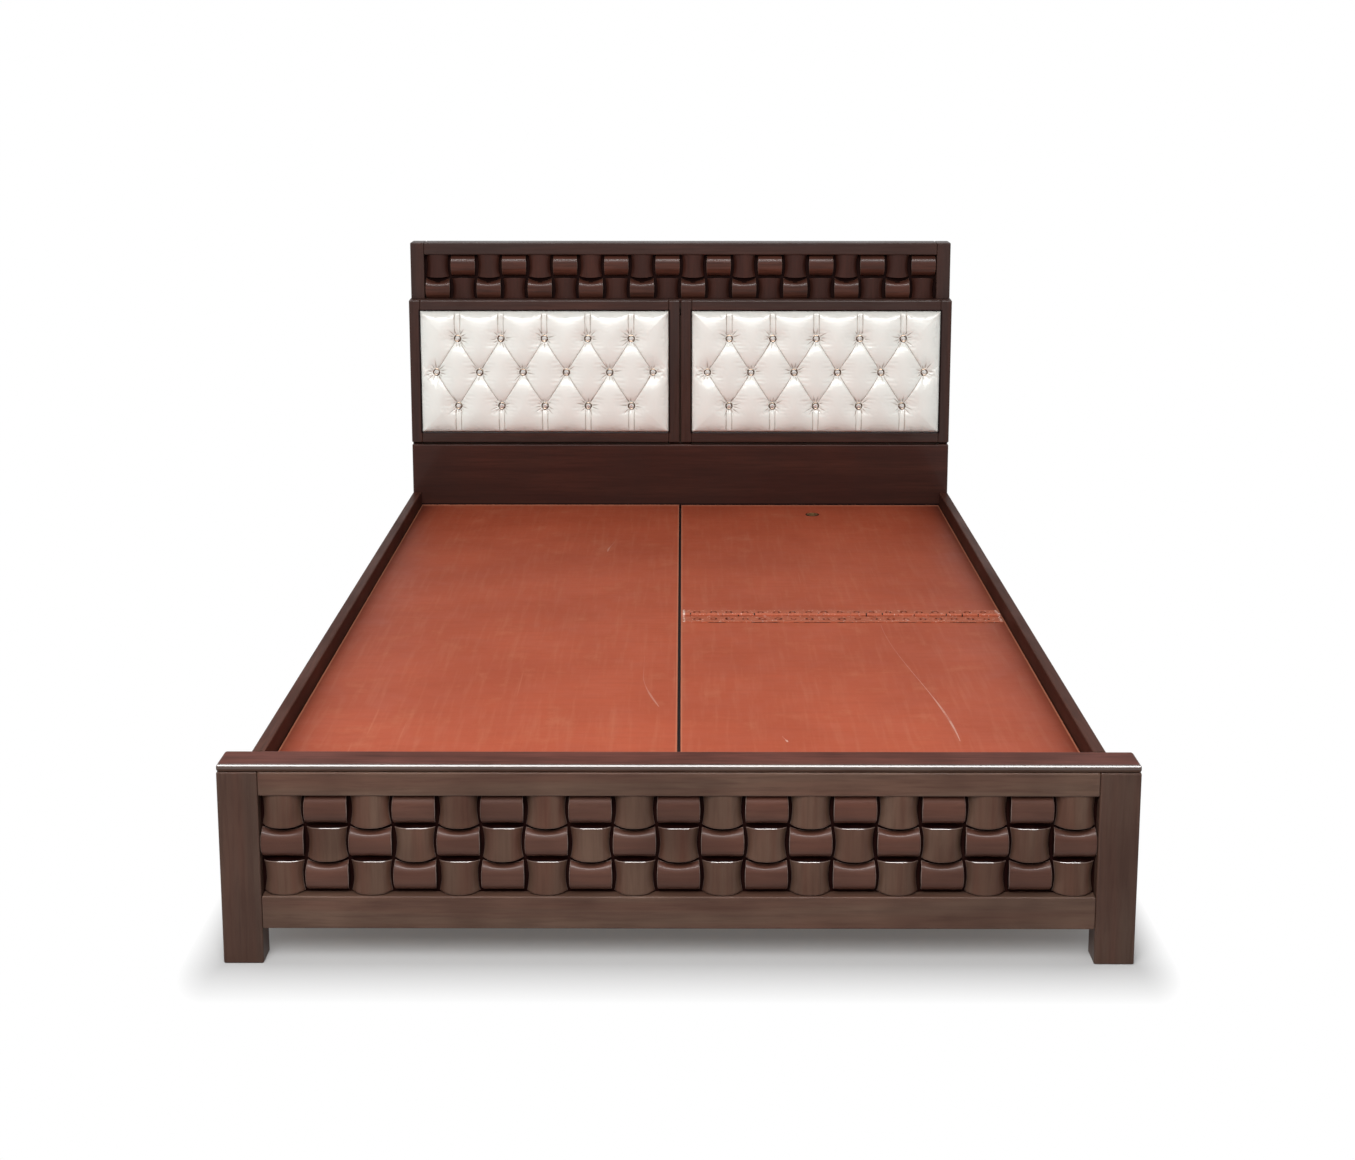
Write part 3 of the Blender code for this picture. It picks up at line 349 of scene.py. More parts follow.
def walnut_polish(name, grain, colours, base="walnut", red=0.45, coat=0.08, soften=2 * MM, gleam=0.12,
                  figure=0.6, top=None, inner=None, lines=None, burn=0.0):
    """Stained hardwood under satin lacquer, with its grain along X, Y or Z.

    The eye sees fine dark streaks along the grain, a redder cast where the stain is thin, and paler edges,
    which are a painted highlight. The faces that look up may take a colour of their own: a redder stain on
    the cap and the side rails, painted shadow on the lower panel. The faces that look to the bed's middle may
    take painted shade, lines may paint shade, and burnt edges are dark over a width instead of pale: a toner
    that also paints the shade where a block curves back.
    """
    material, tree, shader, place = new_material(name)
    stretch = [0.06 if axis == grain else 1.0 for axis in "XYZ"]
    along = node(tree, "Mapping", {"Vector": place, "Scale": stretch})
    streaks = node(tree, "TexNoise", {"Vector": along, "Scale": 1 / (7 * MM), "Detail": 5.0,
                                      "Roughness": 0.62, "Distortion": 0.4})
    bands = node(tree, "TexNoise", {"Vector": along, "Scale": 1 / (34 * MM), "Detail": 2.0, "Roughness": 0.5})
    clouds = node(tree, "TexNoise", {"Vector": place, "Scale": 1 / (170 * MM), "Detail": 2.0,
                                     "Roughness": 0.5})
    dark = node(tree, "MapRange", {"Value": streaks, "From Min": 0.42, "From Max": 0.72, "To Max": figure})
    thin = node(tree, "MapRange", {"Value": bands, "From Min": 0.42, "From Max": 0.72, "To Max": red})
    cloudy = node(tree, "MapRange", {"Value": clouds, "From Min": 0.35, "From Max": 0.7, "To Max": 0.45})
    ground = getattr(colours, base)
    normal = node(tree, "NewGeometry").outputs["Normal"]
    # painted shade on the faces that look to the bed's middle
    if inner:
        facing = node(tree, "VectorMath", {0: place, 1: normal}, operation="MULTIPLY")
        facing = node(tree, "SeparateXYZ", {0: facing}).outputs["X"]
        facing = node(tree, "MapRange", {"Value": facing, "From Min": -0.3, "From Max": -0.6})
        ground = coats(tree, ground, (facing, getattr(colours, inner)))
    # faces that look up take a colour of their own: a redder stain on the cap and the side rails, painted
    # shadow on the lower panel, its mid rail and its ledge
    if top:
        up = node(tree, "SeparateXYZ", {0: normal}).outputs["Z"]
        up = node(tree, "MapRange", {"Value": up, "From Min": 0.7, "From Max": 0.95})
        ground = coats(tree, ground, (up, getattr(colours, top)))
    # Pale edges are a painted highlight; burnt edges are a dark toner that also paints the shade where a
    # block curves back
    rubbed = node(tree, "Math", {0: edge_mask(tree, burn or 3.5 * MM), 1: 0.45}, operation="MULTIPLY")
    colour = coats(tree, ground, (thin, colours.walnut_red), (dark, colours.walnut_dark),
                   (cloudy, colours.walnut_dark), (rubbed, colours.recess_stain_and_shade if burn else colours.walnut_edge_highlight))
    # lines of painted shade, where a polish is given them
    if lines:
        pooled = lines(tree, node(tree, "SeparateXYZ", {0: place}))
        colour = coats(tree, colour, (pooled, colours.recess_stain_and_shade))
    gloss = node(tree, "MapRange", {"Value": clouds, "From Min": 0.3, "From Max": 0.7, "To Min": 0.36,
                                    "To Max": 0.48})
    softened = node(tree, "Bevel", {"Radius": soften}, samples=4)
    relief = node(tree, "Bump", {"Strength": 0.10, "Distance": 0.3 * MM, "Height": streaks,
                                 "Normal": softened})
    fill(tree, shader, {"Base Color": colour, "Roughness": gloss, "Normal": relief, "IOR": 1.5,
                        "Specular IOR Level": gleam, "Coat Weight": coat, "Coat Roughness": 0.08,
                        "Coat Normal": softened})
    return material


def pooled_stain(name, deep, thin, size=25, spread=0.35):
    """Stain or dirt pooled in a hollow, darkened further as painted shade: nearly black, faintly red and
    dull.
    """
    material, tree, shader, place = new_material(name)
    pools = node(tree, "TexNoise", {"Vector": place, "Scale": 1 / (size * MM), "Detail": 3.0})
    lift = node(tree, "MapRange", {"Value": pools, "From Min": 0.4, "From Max": 0.75, "To Max": spread})
    gloss = node(tree, "MapRange", {"Value": pools, "To Min": 0.6, "To Max": 0.8})
    fill(tree, shader, {"Base Color": coats(tree, deep, (lift, thin)), "Roughness": gloss, "IOR": 1.5,
                        "Specular IOR Level": 0.05})
    return material


def between(tree, value, low, high, soft):
    """1 where a value lies between two limits, easing to 0 over a soft width outside them."""
    above = node(tree, "MapRange", {"Value": value, "From Min": low - soft, "From Max": low})
    below = node(tree, "MapRange", {"Value": value, "From Min": high + soft, "From Max": high})
    return node(tree, "Math", {0: above, 1: below}, operation="MULTIPLY")


def pad_shadow_outline(tree, axes):
    """1 along the line of painted shadow that the door frames take round their pads."""
    wide = 5 * MM
    masks = []
    for door in DOORS:
        low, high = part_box(f"door_{door}_pad")
        across = between(tree, axes.outputs["X"], low.x - wide, high.x + wide, MM / 2)
        up = between(tree, axes.outputs["Z"], low.z - wide, high.z + wide, MM / 2)
        masks.append(node(tree, "Math", {0: across, 1: up}, operation="MULTIPLY"))
    return node(tree, "Math", {0: masks[0], 1: masks[1]}, operation="MAXIMUM")


def panel_foot_shade(tree, axes):
    """How much shade is painted on the lower panel: most in a line along the platform, and less up to its
    top.
    """
    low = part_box("lid")[1].z
    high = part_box("head_lower_panel")[1].z
    line = between(tree, axes.outputs["Z"], low - 10 * MM, low + 4 * MM, MM)
    fade = node(tree, "MapRange", {"Value": axes.outputs["Z"], "From Min": high, "From Max": low,
                                   "To Max": 0.3})
    return node(tree, "Math", {0: line, 1: fade}, operation="MAXIMUM")


# Scratches in the platform's paint: y where the bend starts and ends, x there, y where it shows, how deep
SCRATCHES = (
    ((-0.16, -0.87), (0.472, 0.547), (-0.16, -0.87), 0.45),
    ((-0.50, -0.90), (-0.077, 0.0), (-0.38, -0.69), 0.24),
    ((0.60, 0.47), (-0.177, -0.195), (0.60, 0.47), 0.25),
    ((-0.85, -0.88), (0.203, 0.211), (-0.85, -0.88), 0.60),
)


def scratches(tree, axes):
    """The pale scratches in the platform's paint, each fainter at its start and widest near its front end."""
    total = 0.0
    for bend, drift, run, deep in SCRATCHES:
        line = node(tree, "MapRange", {"Value": axes.outputs["Y"], "From Min": bend[0], "From Max": bend[1],
                                       "To Min": drift[0], "To Max": drift[1]},
                    interpolation_type="SMOOTHSTEP")
        off = node(tree, "Math", {0: axes.outputs["X"], 1: line}, operation="SUBTRACT")
        off = node(tree, "Math", {0: off}, operation="ABSOLUTE")
        along = node(tree, "MapRange", {"Value": axes.outputs["Y"], "From Min": run[0], "From Max": run[1]},
                     clamp=False)
        blunt = between(tree, along, 0.76, 0.88, 0.14)
        half = node(tree, "MapRange", {"Value": blunt, "To Min": 0.7 * MM, "To Max": 2.2 * MM})
        inside = node(tree, "Math", {0: off, 1: half}, operation="LESS_THAN")
        shown = node(tree, "Math", {0: inside, 1: between(tree, along, 0.0, 1.0, 0.01)}, operation="MULTIPLY")
        depth = node(tree, "MapRange", {"Value": along, "From Min": 0.2, "From Max": 0.8,
                                        "To Min": deep * 0.3, "To Max": deep})
        shown = node(tree, "Math", {0: shown, 1: depth}, operation="MULTIPLY")
        total = node(tree, "Math", {0: shown, 1: total}, operation="MAXIMUM")
    return total


def board_edges(tree, axes):
    """1 along the rubbed board edges: beside the middle seam, and along the platform's ends and sides."""
    front, back = (corner.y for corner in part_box("platform_left"))
    off = node(tree, "Math", {0: axes.outputs["X"]}, operation="ABSOLUTE")
    seam = between(tree, off, 4 * MM, 6 * MM, MM)
    foot = between(tree, axes.outputs["Y"], front, front + 5 * MM, MM)
    head = between(tree, axes.outputs["Y"], back - 14 * MM, back, 4 * MM)
    side = between(tree, off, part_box("lid")[1].x - 3 * MM, 1.0, MM)
    ends = node(tree, "Math", {0: foot, 1: head}, operation="MAXIMUM")
    sides = node(tree, "Math", {0: seam, 1: side}, operation="MAXIMUM")
    return node(tree, "Math", {0: sides, 1: ends}, operation="MAXIMUM")


def dashes(tree, place):
    """1 in short uneven dashes across the bed, a few millimetres deep."""
    along = node(tree, "Mapping", {"Vector": place, "Scale": (0.3, 1.0, 1.0)})
    marks = node(tree, "TexNoise", {"Vector": along, "Scale": 1 / (6 * MM), "Detail": 2.0})
    return node(tree, "MapRange", {"Value": marks, "From Min": 0.48, "From Max": 0.54})


def hinge_shade_painted(tree, place, axes):
    """How much shade is painted on the boards: in the middle seam, in broken lines beside the lid's hinge,
    and in and round its finger ring."""
    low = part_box("lid_hinge_fixed_leaf")[0]
    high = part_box("lid_hinge_moving_leaf")[1]
    inside = between(tree, axes.outputs["X"], low.x, high.x, MM)
    front = between(tree, axes.outputs["Y"], low.y - 3 * MM, low.y + 3 * MM, MM)
    rear = between(tree, axes.outputs["Y"], high.y - 3 * MM, high.y + 3 * MM, MM)
    lines = node(tree, "Math", {0: front, 1: rear}, operation="MAXIMUM")
    lines = node(tree, "Math", {0: inside, 1: lines}, operation="MULTIPLY")
    lines = node(tree, "Math", {0: lines, 1: dashes(tree, place)}, operation="MULTIPLY")
    off = node(tree, "Math", {0: axes.outputs["X"]}, operation="ABSOLUTE")
    seam = between(tree, off, 0.0, 3.2 * MM, MM / 2)
    lines = node(tree, "Math", {0: lines, 1: seam}, operation="MAXIMUM")
    ring_low, ring_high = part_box("lid_finger_ring")
    middle = (ring_low + ring_high) / 2
    radius = (ring_high.x - ring_low.x) / 2
    flat = node(tree, "CombineXYZ", {"X": axes.outputs["X"], "Y": axes.outputs["Y"]})
    off = node(tree, "VectorMath", {0: flat, 1: (middle.x, middle.y, 0)},
               operation="DISTANCE").outputs["Value"]
    circle = between(tree, off, 0.0, radius + 4 * MM, MM)
    return node(tree, "Math", {0: lines, 1: circle}, operation="MAXIMUM")


def rail_shade_painted(tree, axes):
    """How much shade is painted on the platform: most along the side rails, and a little towards the
    headboard.
    """
    width = 42 * MM
    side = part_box("lid")[1].x
    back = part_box("lid")[1].y
    off = node(tree, "Math", {0: axes.outputs["X"]}, operation="ABSOLUTE")
    off = node(tree, "Math", {0: off, 1: 1 / width, 2: -side / width}, operation="MULTIPLY_ADD")
    rails = node(tree, "Math", {0: off}, operation="EXPONENT")
    rails = node(tree, "Math", {0: rails, 1: 0.7}, operation="MULTIPLY")
    rear = node(tree, "MapRange", {"Value": axes.outputs["Y"], "From Min": back - 0.8, "From Max": back,
                                   "To Max": 0.22})
    return node(tree, "Math", {0: rails, 1: rear}, operation="ADD", use_clamp=True)


def red_oxide_paint(colours):
    """Red oxide paint rolled on ply: faint streaks across the bed and along it, cloudy coats, rubbed patches
    and edges, painted shade along the rails, in the seam, beside the hinge and in the finger ring, hairlines
    and a few pale scratches."""
    material, tree, shader, place = new_material("red oxide paint on ply")
    axes = node(tree, "SeparateXYZ", {0: place})
    across = node(tree, "Mapping", {"Vector": place, "Scale": (0.09, 1.0, 1.0)})
    roller = node(tree, "TexNoise", {"Vector": across, "Scale": 1 / (13 * MM), "Detail": 4.0,
                                     "Roughness": 0.6})
    clouds = node(tree, "TexNoise", {"Vector": place, "Scale": 1 / (300 * MM), "Detail": 3.0,
                                     "Roughness": 0.55})
    patches = node(tree, "TexNoise", {"Vector": place, "Scale": 1 / (80 * MM), "Detail": 6.0,
                                      "Roughness": 0.7})
    coat = node(tree, "MapRange", {"Value": clouds, "From Min": 0.32, "From Max": 0.68, "To Max": 0.55})
    streak = node(tree, "MapRange", {"Value": roller, "From Min": 0.45, "From Max": 0.8, "To Max": 0.35})
    rubbed = node(tree, "MapRange", {"Value": patches, "From Min": 0.56, "From Max": 0.85, "To Max": 0.5})
    down = node(tree, "Mapping", {"Vector": place, "Scale": (1.0, 0.06, 1.0)})
    wipes = node(tree, "TexNoise", {"Vector": down, "Scale": 1 / (14 * MM), "Detail": 4.0, "Roughness": 0.6})
    wiped = node(tree, "MapRange", {"Value": wipes, "From Min": 0.5, "From Max": 0.8, "To Max": 0.26})
    slanting = node(tree, "Mapping", {"Vector": place, "Rotation": (0, 0, 0.3), "Scale": (1.0, 0.02, 1.0)})
    hairs = node(tree, "TexNoise", {"Vector": slanting, "Scale": 1 / (9 * MM), "Detail": 1.0})
    hairline = node(tree, "MapRange", {"Value": hairs, "From Min": 0.76, "From Max": 0.79, "To Max": 0.25})
    broken = node(tree, "MapRange", {"Value": patches, "From Min": 0.3, "From Max": 0.5})
    scratch = node(tree, "Math", {0: scratches(tree, axes), 1: broken}, operation="MULTIPLY")
    worn_edge = node(tree, "Math", {0: board_edges(tree, axes), 1: 0.5}, operation="MULTIPLY")
    colour = coats(tree, colours.paint, (coat, colours.paint_dark), (streak, colours.paint_dark),
                   (rubbed, colours.paint_worn), (wiped, colours.paint_worn), (hairline, colours.paint_worn),
                   # painted shade along the side rails and towards the headboard, and in the seam, beside the
                   # hinge and round the finger ring
                   (scratch, colours.primer), (rail_shade_painted(tree, axes), colours.grime),
                   (worn_edge, colours.paint_worn), (hinge_shade_painted(tree, place, axes), colours.recess_stain_and_shade))
    gloss = node(tree, "MapRange", {"Value": patches, "From Min": 0.3, "From Max": 0.75, "To Min": 0.44,
                                    "To Max": 0.60})
    relief = node(tree, "Bump", {"Strength": 0.10, "Distance": 0.3 * MM, "Height": roller})
    fill(tree, shader, {"Base Color": colour, "Roughness": gloss, "Normal": relief, "IOR": 1.47,
                        "Specular IOR Level": 0.12})
    return material


def hinge_line():
    """Where the lid's hinge turns, along the bed."""
    low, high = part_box("lid_hinge_pin")
    return (low.y + high.y) / 2


def knuckle_gaps(tree, axes, start):
    """1 in the dark gaps between the knuckles of the lid's hinge, drawn wide enough to show."""
    pitch = bpy.context.scene.storage_bed.hinge.pitch
    steps = node(tree, "MapRange", {"Value": axes.outputs["X"], "From Min": start, "From Max": start + pitch},
                 clamp=False)
    part = node(tree, "Math", {0: steps}, operation="FRACT")
    gap = between(tree, part, 0.45, 0.52, 0.01)
    barrel = between(tree, axes.outputs["Y"], hinge_line() - 6 * MM, hinge_line() + 6 * MM, MM)
    return node(tree, "Math", {0: gap, 1: barrel}, operation="MULTIPLY")


def painted_steel(colours):
    """Hinge steel under the same red oxide paint: chipped on its edges to bright metal, darker in its
    hollows, and worn pale at the hinge's ends."""
    material, tree, shader, place = new_material("red oxide paint on steel")
    axes = node(tree, "SeparateXYZ", {0: place})
    low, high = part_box("lid_hinge_fixed_leaf")
    grit = node(tree, "TexNoise", {"Vector": place, "Scale": 1 / (6 * MM), "Detail": 4.0, "Roughness": 0.7})
    coat = node(tree, "MapRange", {"Value": grit, "From Min": 0.35, "From Max": 0.7})
    flecks = node(tree, "MapRange", {"Value": grit, "From Min": 0.60, "From Max": 0.66, "To Max": 0.6})
    chips = node(tree, "MapRange", {"Value": grit, "From Min": 0.56, "From Max": 0.62})
    bare = node(tree, "Math", {0: edge_mask(tree, 1.2 * MM), 1: chips}, operation="MULTIPLY")
    gaps = node(tree, "Math", {0: knuckle_gaps(tree, axes, low.x), 1: dashes(tree, place)},
                operation="MULTIPLY")
    inside = between(tree, axes.outputs["X"], low.x + 6 * MM, high.x - 6 * MM, MM)
    ends = node(tree, "Math", {0: 1.0, 1: inside}, operation="SUBTRACT")
    worn = node(tree, "MapRange", {"Value": grit, "From Min": 0.44, "From Max": 0.52, "To Max": 0.8})
    ends = node(tree, "Math", {0: ends, 1: worn}, operation="MULTIPLY")
    colour = coats(tree, colours.paint_dark, (coat, colours.paint), (0.3, colours.paint_worn),
                   (flecks, colours.primer), (bare, colours.zinc), (gaps, colours.recess_stain_and_shade),
                   (ends, colours.primer))
    gloss = node(tree, "MapRange", {"Value": grit, "To Min": 0.50, "To Max": 0.70})
    relief = node(tree, "Bump", {"Strength": 0.25, "Distance": 0.4 * MM, "Height": grit})
    fill(tree, shader, {"Base Color": colour, "Metallic": bare, "Roughness": gloss, "Normal": relief,
                        "Specular IOR Level": 0.12})
    return material


def bare_ply(colours):
    """Unfinished ply: flat cathedral grain along X, pale and dry."""
    material, tree, shader, place = new_material("bare ply")
    along = node(tree, "Mapping", {"Vector": place, "Scale": (0.08, 1.0, 1.0)})
    rings = node(tree, "TexWave", {"Vector": along, "Scale": 1 / (70 * MM), "Distortion": 6.0, "Detail": 3.0,
                                   "Detail Scale": 1.2}, bands_direction="DIAGONAL")
    fibres = node(tree, "TexNoise", {"Vector": along, "Scale": 1 / (5 * MM), "Detail": 4.0})
    mask = node(tree, "Math", {0: rings.outputs["Fac"], 1: fibres.outputs["Fac"]}, operation="MULTIPLY")
    colour = coats(tree, colours.ply, (mask, colours.ply_dark))
    gloss = node(tree, "MapRange", {"Value": fibres, "To Min": 0.62, "To Max": 0.82})
    relief = node(tree, "Bump", {"Strength": 0.2, "Distance": 0.3 * MM, "Height": fibres})
    fill(tree, shader, {"Base Color": colour, "Roughness": gloss, "Normal": relief})
    return material


def pine_batten(colours):
    """Planed pine: pale and amber growth rings a few millimetres apart, with painted shade under the middle
    seam.
    """
    material, tree, shader, place = new_material("planed pine")
    rings = node(tree, "TexWave", {"Vector": place, "Scale": 1 / (45 * MM), "Distortion": 2.5, "Detail": 2.0},
                 bands_direction="Z")
    fibres = node(tree, "TexNoise", {"Vector": place, "Scale": 1 / (8 * MM), "Detail": 4.0})
    late = node(tree, "MapRange", {"Value": rings.outputs["Fac"], "From Min": 0.6, "To Max": 0.8})
    axes = node(tree, "SeparateXYZ", {0: place})
    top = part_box("centre_beam")[1].z
    # painted shade on the top, under the middle seam
    under = node(tree, "Math", {0: axes.outputs["Z"], 1: top - MM}, operation="GREATER_THAN")
    seam = between(tree, axes.outputs["X"], -6 * MM, 6 * MM, 2 * MM)
    seam = node(tree, "Math", {0: seam, 1: under}, operation="MULTIPLY")
    colour = coats(tree, colours.pine, (late, colours.pine_dark), (seam, colours.recess_stain_and_shade))
    gloss = node(tree, "MapRange", {"Value": fibres, "To Min": 0.55, "To Max": 0.75})
    relief = node(tree, "Bump", {"Strength": 0.15, "Distance": 0.3 * MM, "Height": fibres})
    fill(tree, shader, {"Base Color": colour, "Roughness": gloss, "Normal": relief})
    return material


def pearl_leatherette(colours):
    """Coated cloth with a pearl finish: a fine pebbled grain, a soft bright gloss, and warmer painted shade
    in its folds, round its buttons, along its foot and below its top.
    """
    material, tree, shader, place = new_material("pearl leatherette")
    pebbles = node(tree, "TexVoronoi", {"Vector": place, "Scale": 1 / (1.8 * MM)}, feature="DISTANCE_TO_EDGE")
    tone = node(tree, "TexNoise", {"Vector": place, "Scale": 1 / (60 * MM), "Detail": 3.0})
    fold = node(tree, "Attribute", attribute_name="fold")
    worn = node(tree, "MapRange", {"Value": tone, "From Min": 0.4, "From Max": 0.75, "To Max": 0.05})
    shaded = node(tree, "Math", {0: fold.outputs["Fac"], 1: worn}, operation="ADD", use_clamp=True)
    colour = coats(tree, colours.leather, (shaded, colours.leather_shade))
    gloss = node(tree, "MapRange", {"Value": tone, "From Min": 0.3, "From Max": 0.7, "To Min": 0.28,
                                    "To Max": 0.37})
    relief = node(tree, "Bump", {"Strength": 0.10, "Distance": 0.2 * MM, "Height": pebbles})
    fill(tree, shader, {"Base Color": colour, "Roughness": gloss, "Normal": relief, "IOR": 1.5,
                        "Coat Weight": 0.15, "Coat Roughness": 0.18})
    return material


def plated_metal(name, colour, rough, polish):
    """Plated or bronzed steel: a fine uneven sheen with small darker spots."""
    material, tree, shader, place = new_material(name)
    spots = node(tree, "TexNoise", {"Vector": place, "Scale": 1 / (4 * MM), "Detail": 4.0, "Roughness": 0.7})
    tone = node(tree, "MapRange", {"Value": spots, "From Min": 0.3, "From Max": 0.7, "To Min": 0.75,
                                   "To Max": 1.0})
    tint = node(tree, "VectorMath", {0: tuple(colour)[:3], "Scale": tone}, operation="SCALE")
    gloss = node(tree, "MapRange", {"Value": spots, "To Min": polish, "To Max": rough})
    fill(tree, shader, {"Base Color": tint, "Metallic": 1.0, "Roughness": gloss})
    return material


def cut_crystal(colours):
    """Foil-backed cut glass: bright mirror facets under a clear face."""
    material, tree, shader, place = new_material("foil-backed crystal")
    foil = node(tree, "TexVoronoi", {"Vector": place, "Scale": 1 / (3 * MM)})
    sparkle = node(tree, "MapRange", {"Value": foil, "To Min": 0.55, "To Max": 1.0})
    tint = node(tree, "VectorMath", {0: tuple(colours.crystal)[:3], "Scale": sparkle}, operation="SCALE")
    gloss = node(tree, "MapRange", {"Value": foil, "To Min": 0.04, "To Max": 0.12})
    fill(tree, shader, {"Base Color": tint, "Metallic": 0.35, "Roughness": gloss, "Coat Weight": 1.0,
                        "Coat Roughness": 0.03})
    return material


def moulded_plastic(colours):
    """Brown moulded plastic: a faint moulding grain and a dull sheen."""
    material, tree, shader, place = new_material("moulded plastic")
    grain = node(tree, "TexNoise", {"Vector": place, "Scale": 1 / (1.5 * MM), "Detail": 2.0})
    gloss = node(tree, "MapRange", {"Value": grain, "To Min": 0.42, "To Max": 0.58})
    relief = node(tree, "Bump", {"Strength": 0.2, "Distance": 0.1 * MM, "Height": grain})
    fill(tree, shader, {"Base Color": colours.plastic, "Roughness": gloss, "Normal": relief, "IOR": 1.49})
    return material


# The walnut polishes: what each is for, its grain, and what sets it apart
POLISHES = {
    "walnut x": ("grain across", "X", {}),
    "walnut z": ("grain upright", "Z", {"figure": 0.45}),
    # the side rails: painted shade on their inner faces
    "side rail": ("side rails", "Y", {"red": 0.2, "coat": 0.015, "gleam": 0.03, "top": "walnut_red",
                                      "inner": "walnut_shade"}),
    "foot rail": ("footboard rails", "X", {"base": "walnut_light", "figure": 0.4}),
    "cap": ("cap rail", "X", {"red": 0.5, "coat": 0.02, "gleam": 0.03, "top": "walnut_cap"}),
    # the headboard's rails and stiles: darker walnut as painted shade, with painted shadow round the pads
    "head rail": ("headboard rails", "X", {"base": "walnut_head_shade", "lines": pad_shadow_outline}),
    "head stile": ("headboard stiles", "Z", {"base": "walnut_head_shade", "lines": pad_shadow_outline}),
    # the lower panel, mid rail and ledge: darker walnut and painted shadow on their tops, with painted shade
    # along the platform
    "lower panel": ("lower panel", "X", {"base": "walnut_shade", "top": "recess_stain_and_shade", "lines": panel_foot_shade}),
    # the foot's blocks: burnt edges, a dark toner that also paints the shade where they curve back
    "upright block": ("upright blocks", "Z", {"base": "walnut_light", "red": 0.7, "coat": 0.05,
                                              "soften": 0.5 * MM, "gleam": 0.08, "figure": 0.3,
                                              "burn": 6 * MM}),
    "lying block": ("lying blocks", "X", {"base": "walnut_block", "red": 0.6, "coat": 0.1, "soften": 0.5 * MM,
                                          "figure": 0.3, "burn": 6 * MM}),
    # the upright head blocks: walnut darkened as painted shade
    "head upright block": ("upright head blocks", "Z", {"base": "walnut_shade", "red": 0.4, "coat": 0.02}),
    "head lying block": ("lying head blocks", "X", {"base": "walnut_red", "red": 0.0, "coat": 0.25,
                                                    "soften": 0.5 * MM, "gleam": 0.06, "figure": 0.75}),
    "head block rim": ("lying head blocks' rims", "X", {"red": 0.0, "coat": 0.8, "soften": 0.3 * MM}),
    # the foot blocks' rims: a pale painted highlight under a real gloss
    "block rim": ("burnished block rims", "X", {"base": "walnut_rim_highlight", "red": 0.0, "coat": 0.8,
                                                "soften": 0.3 * MM}),
    "nosing": ("burnished nosing", "X", {"coat": 1.0, "soften": 0.1 * MM}),
}

# The metals: each one's name, and its greatest and least roughness
METALS = {
    "brass": ("dull brass", 0.50, 0.35),
    "zinc": ("zinc plated steel", 0.45, 0.28),
    "bronze": ("bronzed steel", 0.50, 0.35),
    "rim": ("button rim", 0.35, 0.18),
}

PLAIN_FINISHES = {
    # The pooled stain is darkened further as painted shade
    "recess_stain_and_shade": lambda colours: pooled_stain("pooled walnut stain", colours.recess_stain_and_shade, colours.walnut_dark),
    # The wells' dark finish is painted shade with dirt
    "well": lambda colours: pooled_stain("grime in the screws' wells", colours.grime, colours.paint, 9, 1.0),
    "paint": red_oxide_paint,
    "painted steel": painted_steel,
    "ply": bare_ply,
    "pine": pine_batten,
    "leather": pearl_leatherette,
    "crystal": cut_crystal,
    "plastic": moulded_plastic,
}

FINISHES_MADE = {}


def finish_of(context, name):
    """A finish by name, made the first time that a piece asks for it."""
    colours = context.scene.storage_bed.finishes
    if name not in FINISHES_MADE:
        if name in POLISHES:
            purpose, grain, settings = POLISHES[name]
            made = walnut_polish(f"walnut polish, {purpose}", grain, colours, **settings)
        elif name in METALS:
            title, rough, polish = METALS[name]
            made = plated_metal(title, getattr(colours, name), rough, polish)
        else:
            made = PLAIN_FINISHES[name](colours)
        FINISHES_MADE[name] = made
    return FINISHES_MADE[name]


# Which CAD nodes carry which finish, by the ends of their names
NODE_FINISHES = {
    "cap": ("foot_cap_rail",),
    "foot rail": ("foot_upper_rail", "foot_lower_rail"),
    "lower panel": ("head_lower_panel", "head_mid_rail", "head_ledge"),
    "head rail": ("_top_rail", "_bottom_rail"),
    "walnut x": ("head_bay_floor",),
    "side rail": ("side_rail_left", "side_rail_right"),
    "head stile": ("head_post_left", "head_post_right", "_inner_stile", "_outer_stile"),
    "walnut z": ("foot_post_left", "foot_post_right", "head_cheek_left", "head_cheek_right",
                 "head_bay_divider"),
    "paint": ("platform_left", "platform_right_front", "lid"),
    "painted steel": ("lid_hinge_fixed_leaf", "lid_hinge_moving_leaf"),
    "brass": ("lid_finger_ring",),
    "ply": ("well_floor_left", "well_floor_right", "head_back_panel", "_back_board"),
    "pine": ("foot_bearer", "head_bearer", "side_bearer_left", "side_bearer_right", "centre_beam",
             "centre_leg", "cross_bearer"),
    "zinc": ("_bracket_left", "_bracket_right", "lid_hinge_pin", "_strike"),
    "bronze": ("left_hinge_fixed_leaf", "left_hinge_moving_leaf", "right_hinge_fixed_leaf",
               "right_hinge_moving_leaf"),
    "plastic": ("door_catch",),
}


def finish_nodes(context, *finishes):
    """Give each CAD node whose name a finish lists that finish."""
    for finish in finishes:
        for name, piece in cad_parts.items():
            if name.endswith(NODE_FINISHES[finish]):
                piece.data.materials.clear()
                piece.data.materials.append(finish_of(context, finish))


def new_piece(name, bm, *materials):
    """Turn a bmesh that lies in the bed's frame into a piece with smooth faces and crisp corners."""
    mesh = bpy.data.meshes.new(name)
    bm.to_mesh(mesh)
    bm.free()
    for material in materials:
        mesh.materials.append(material)
    mesh.shade_smooth()
    mesh.set_sharp_from_angle(angle=SMOOTH_ANGLE)
    piece = bpy.data.objects.new(name, mesh)
    bpy.context.scene.collection.objects.link(piece)
    return piece


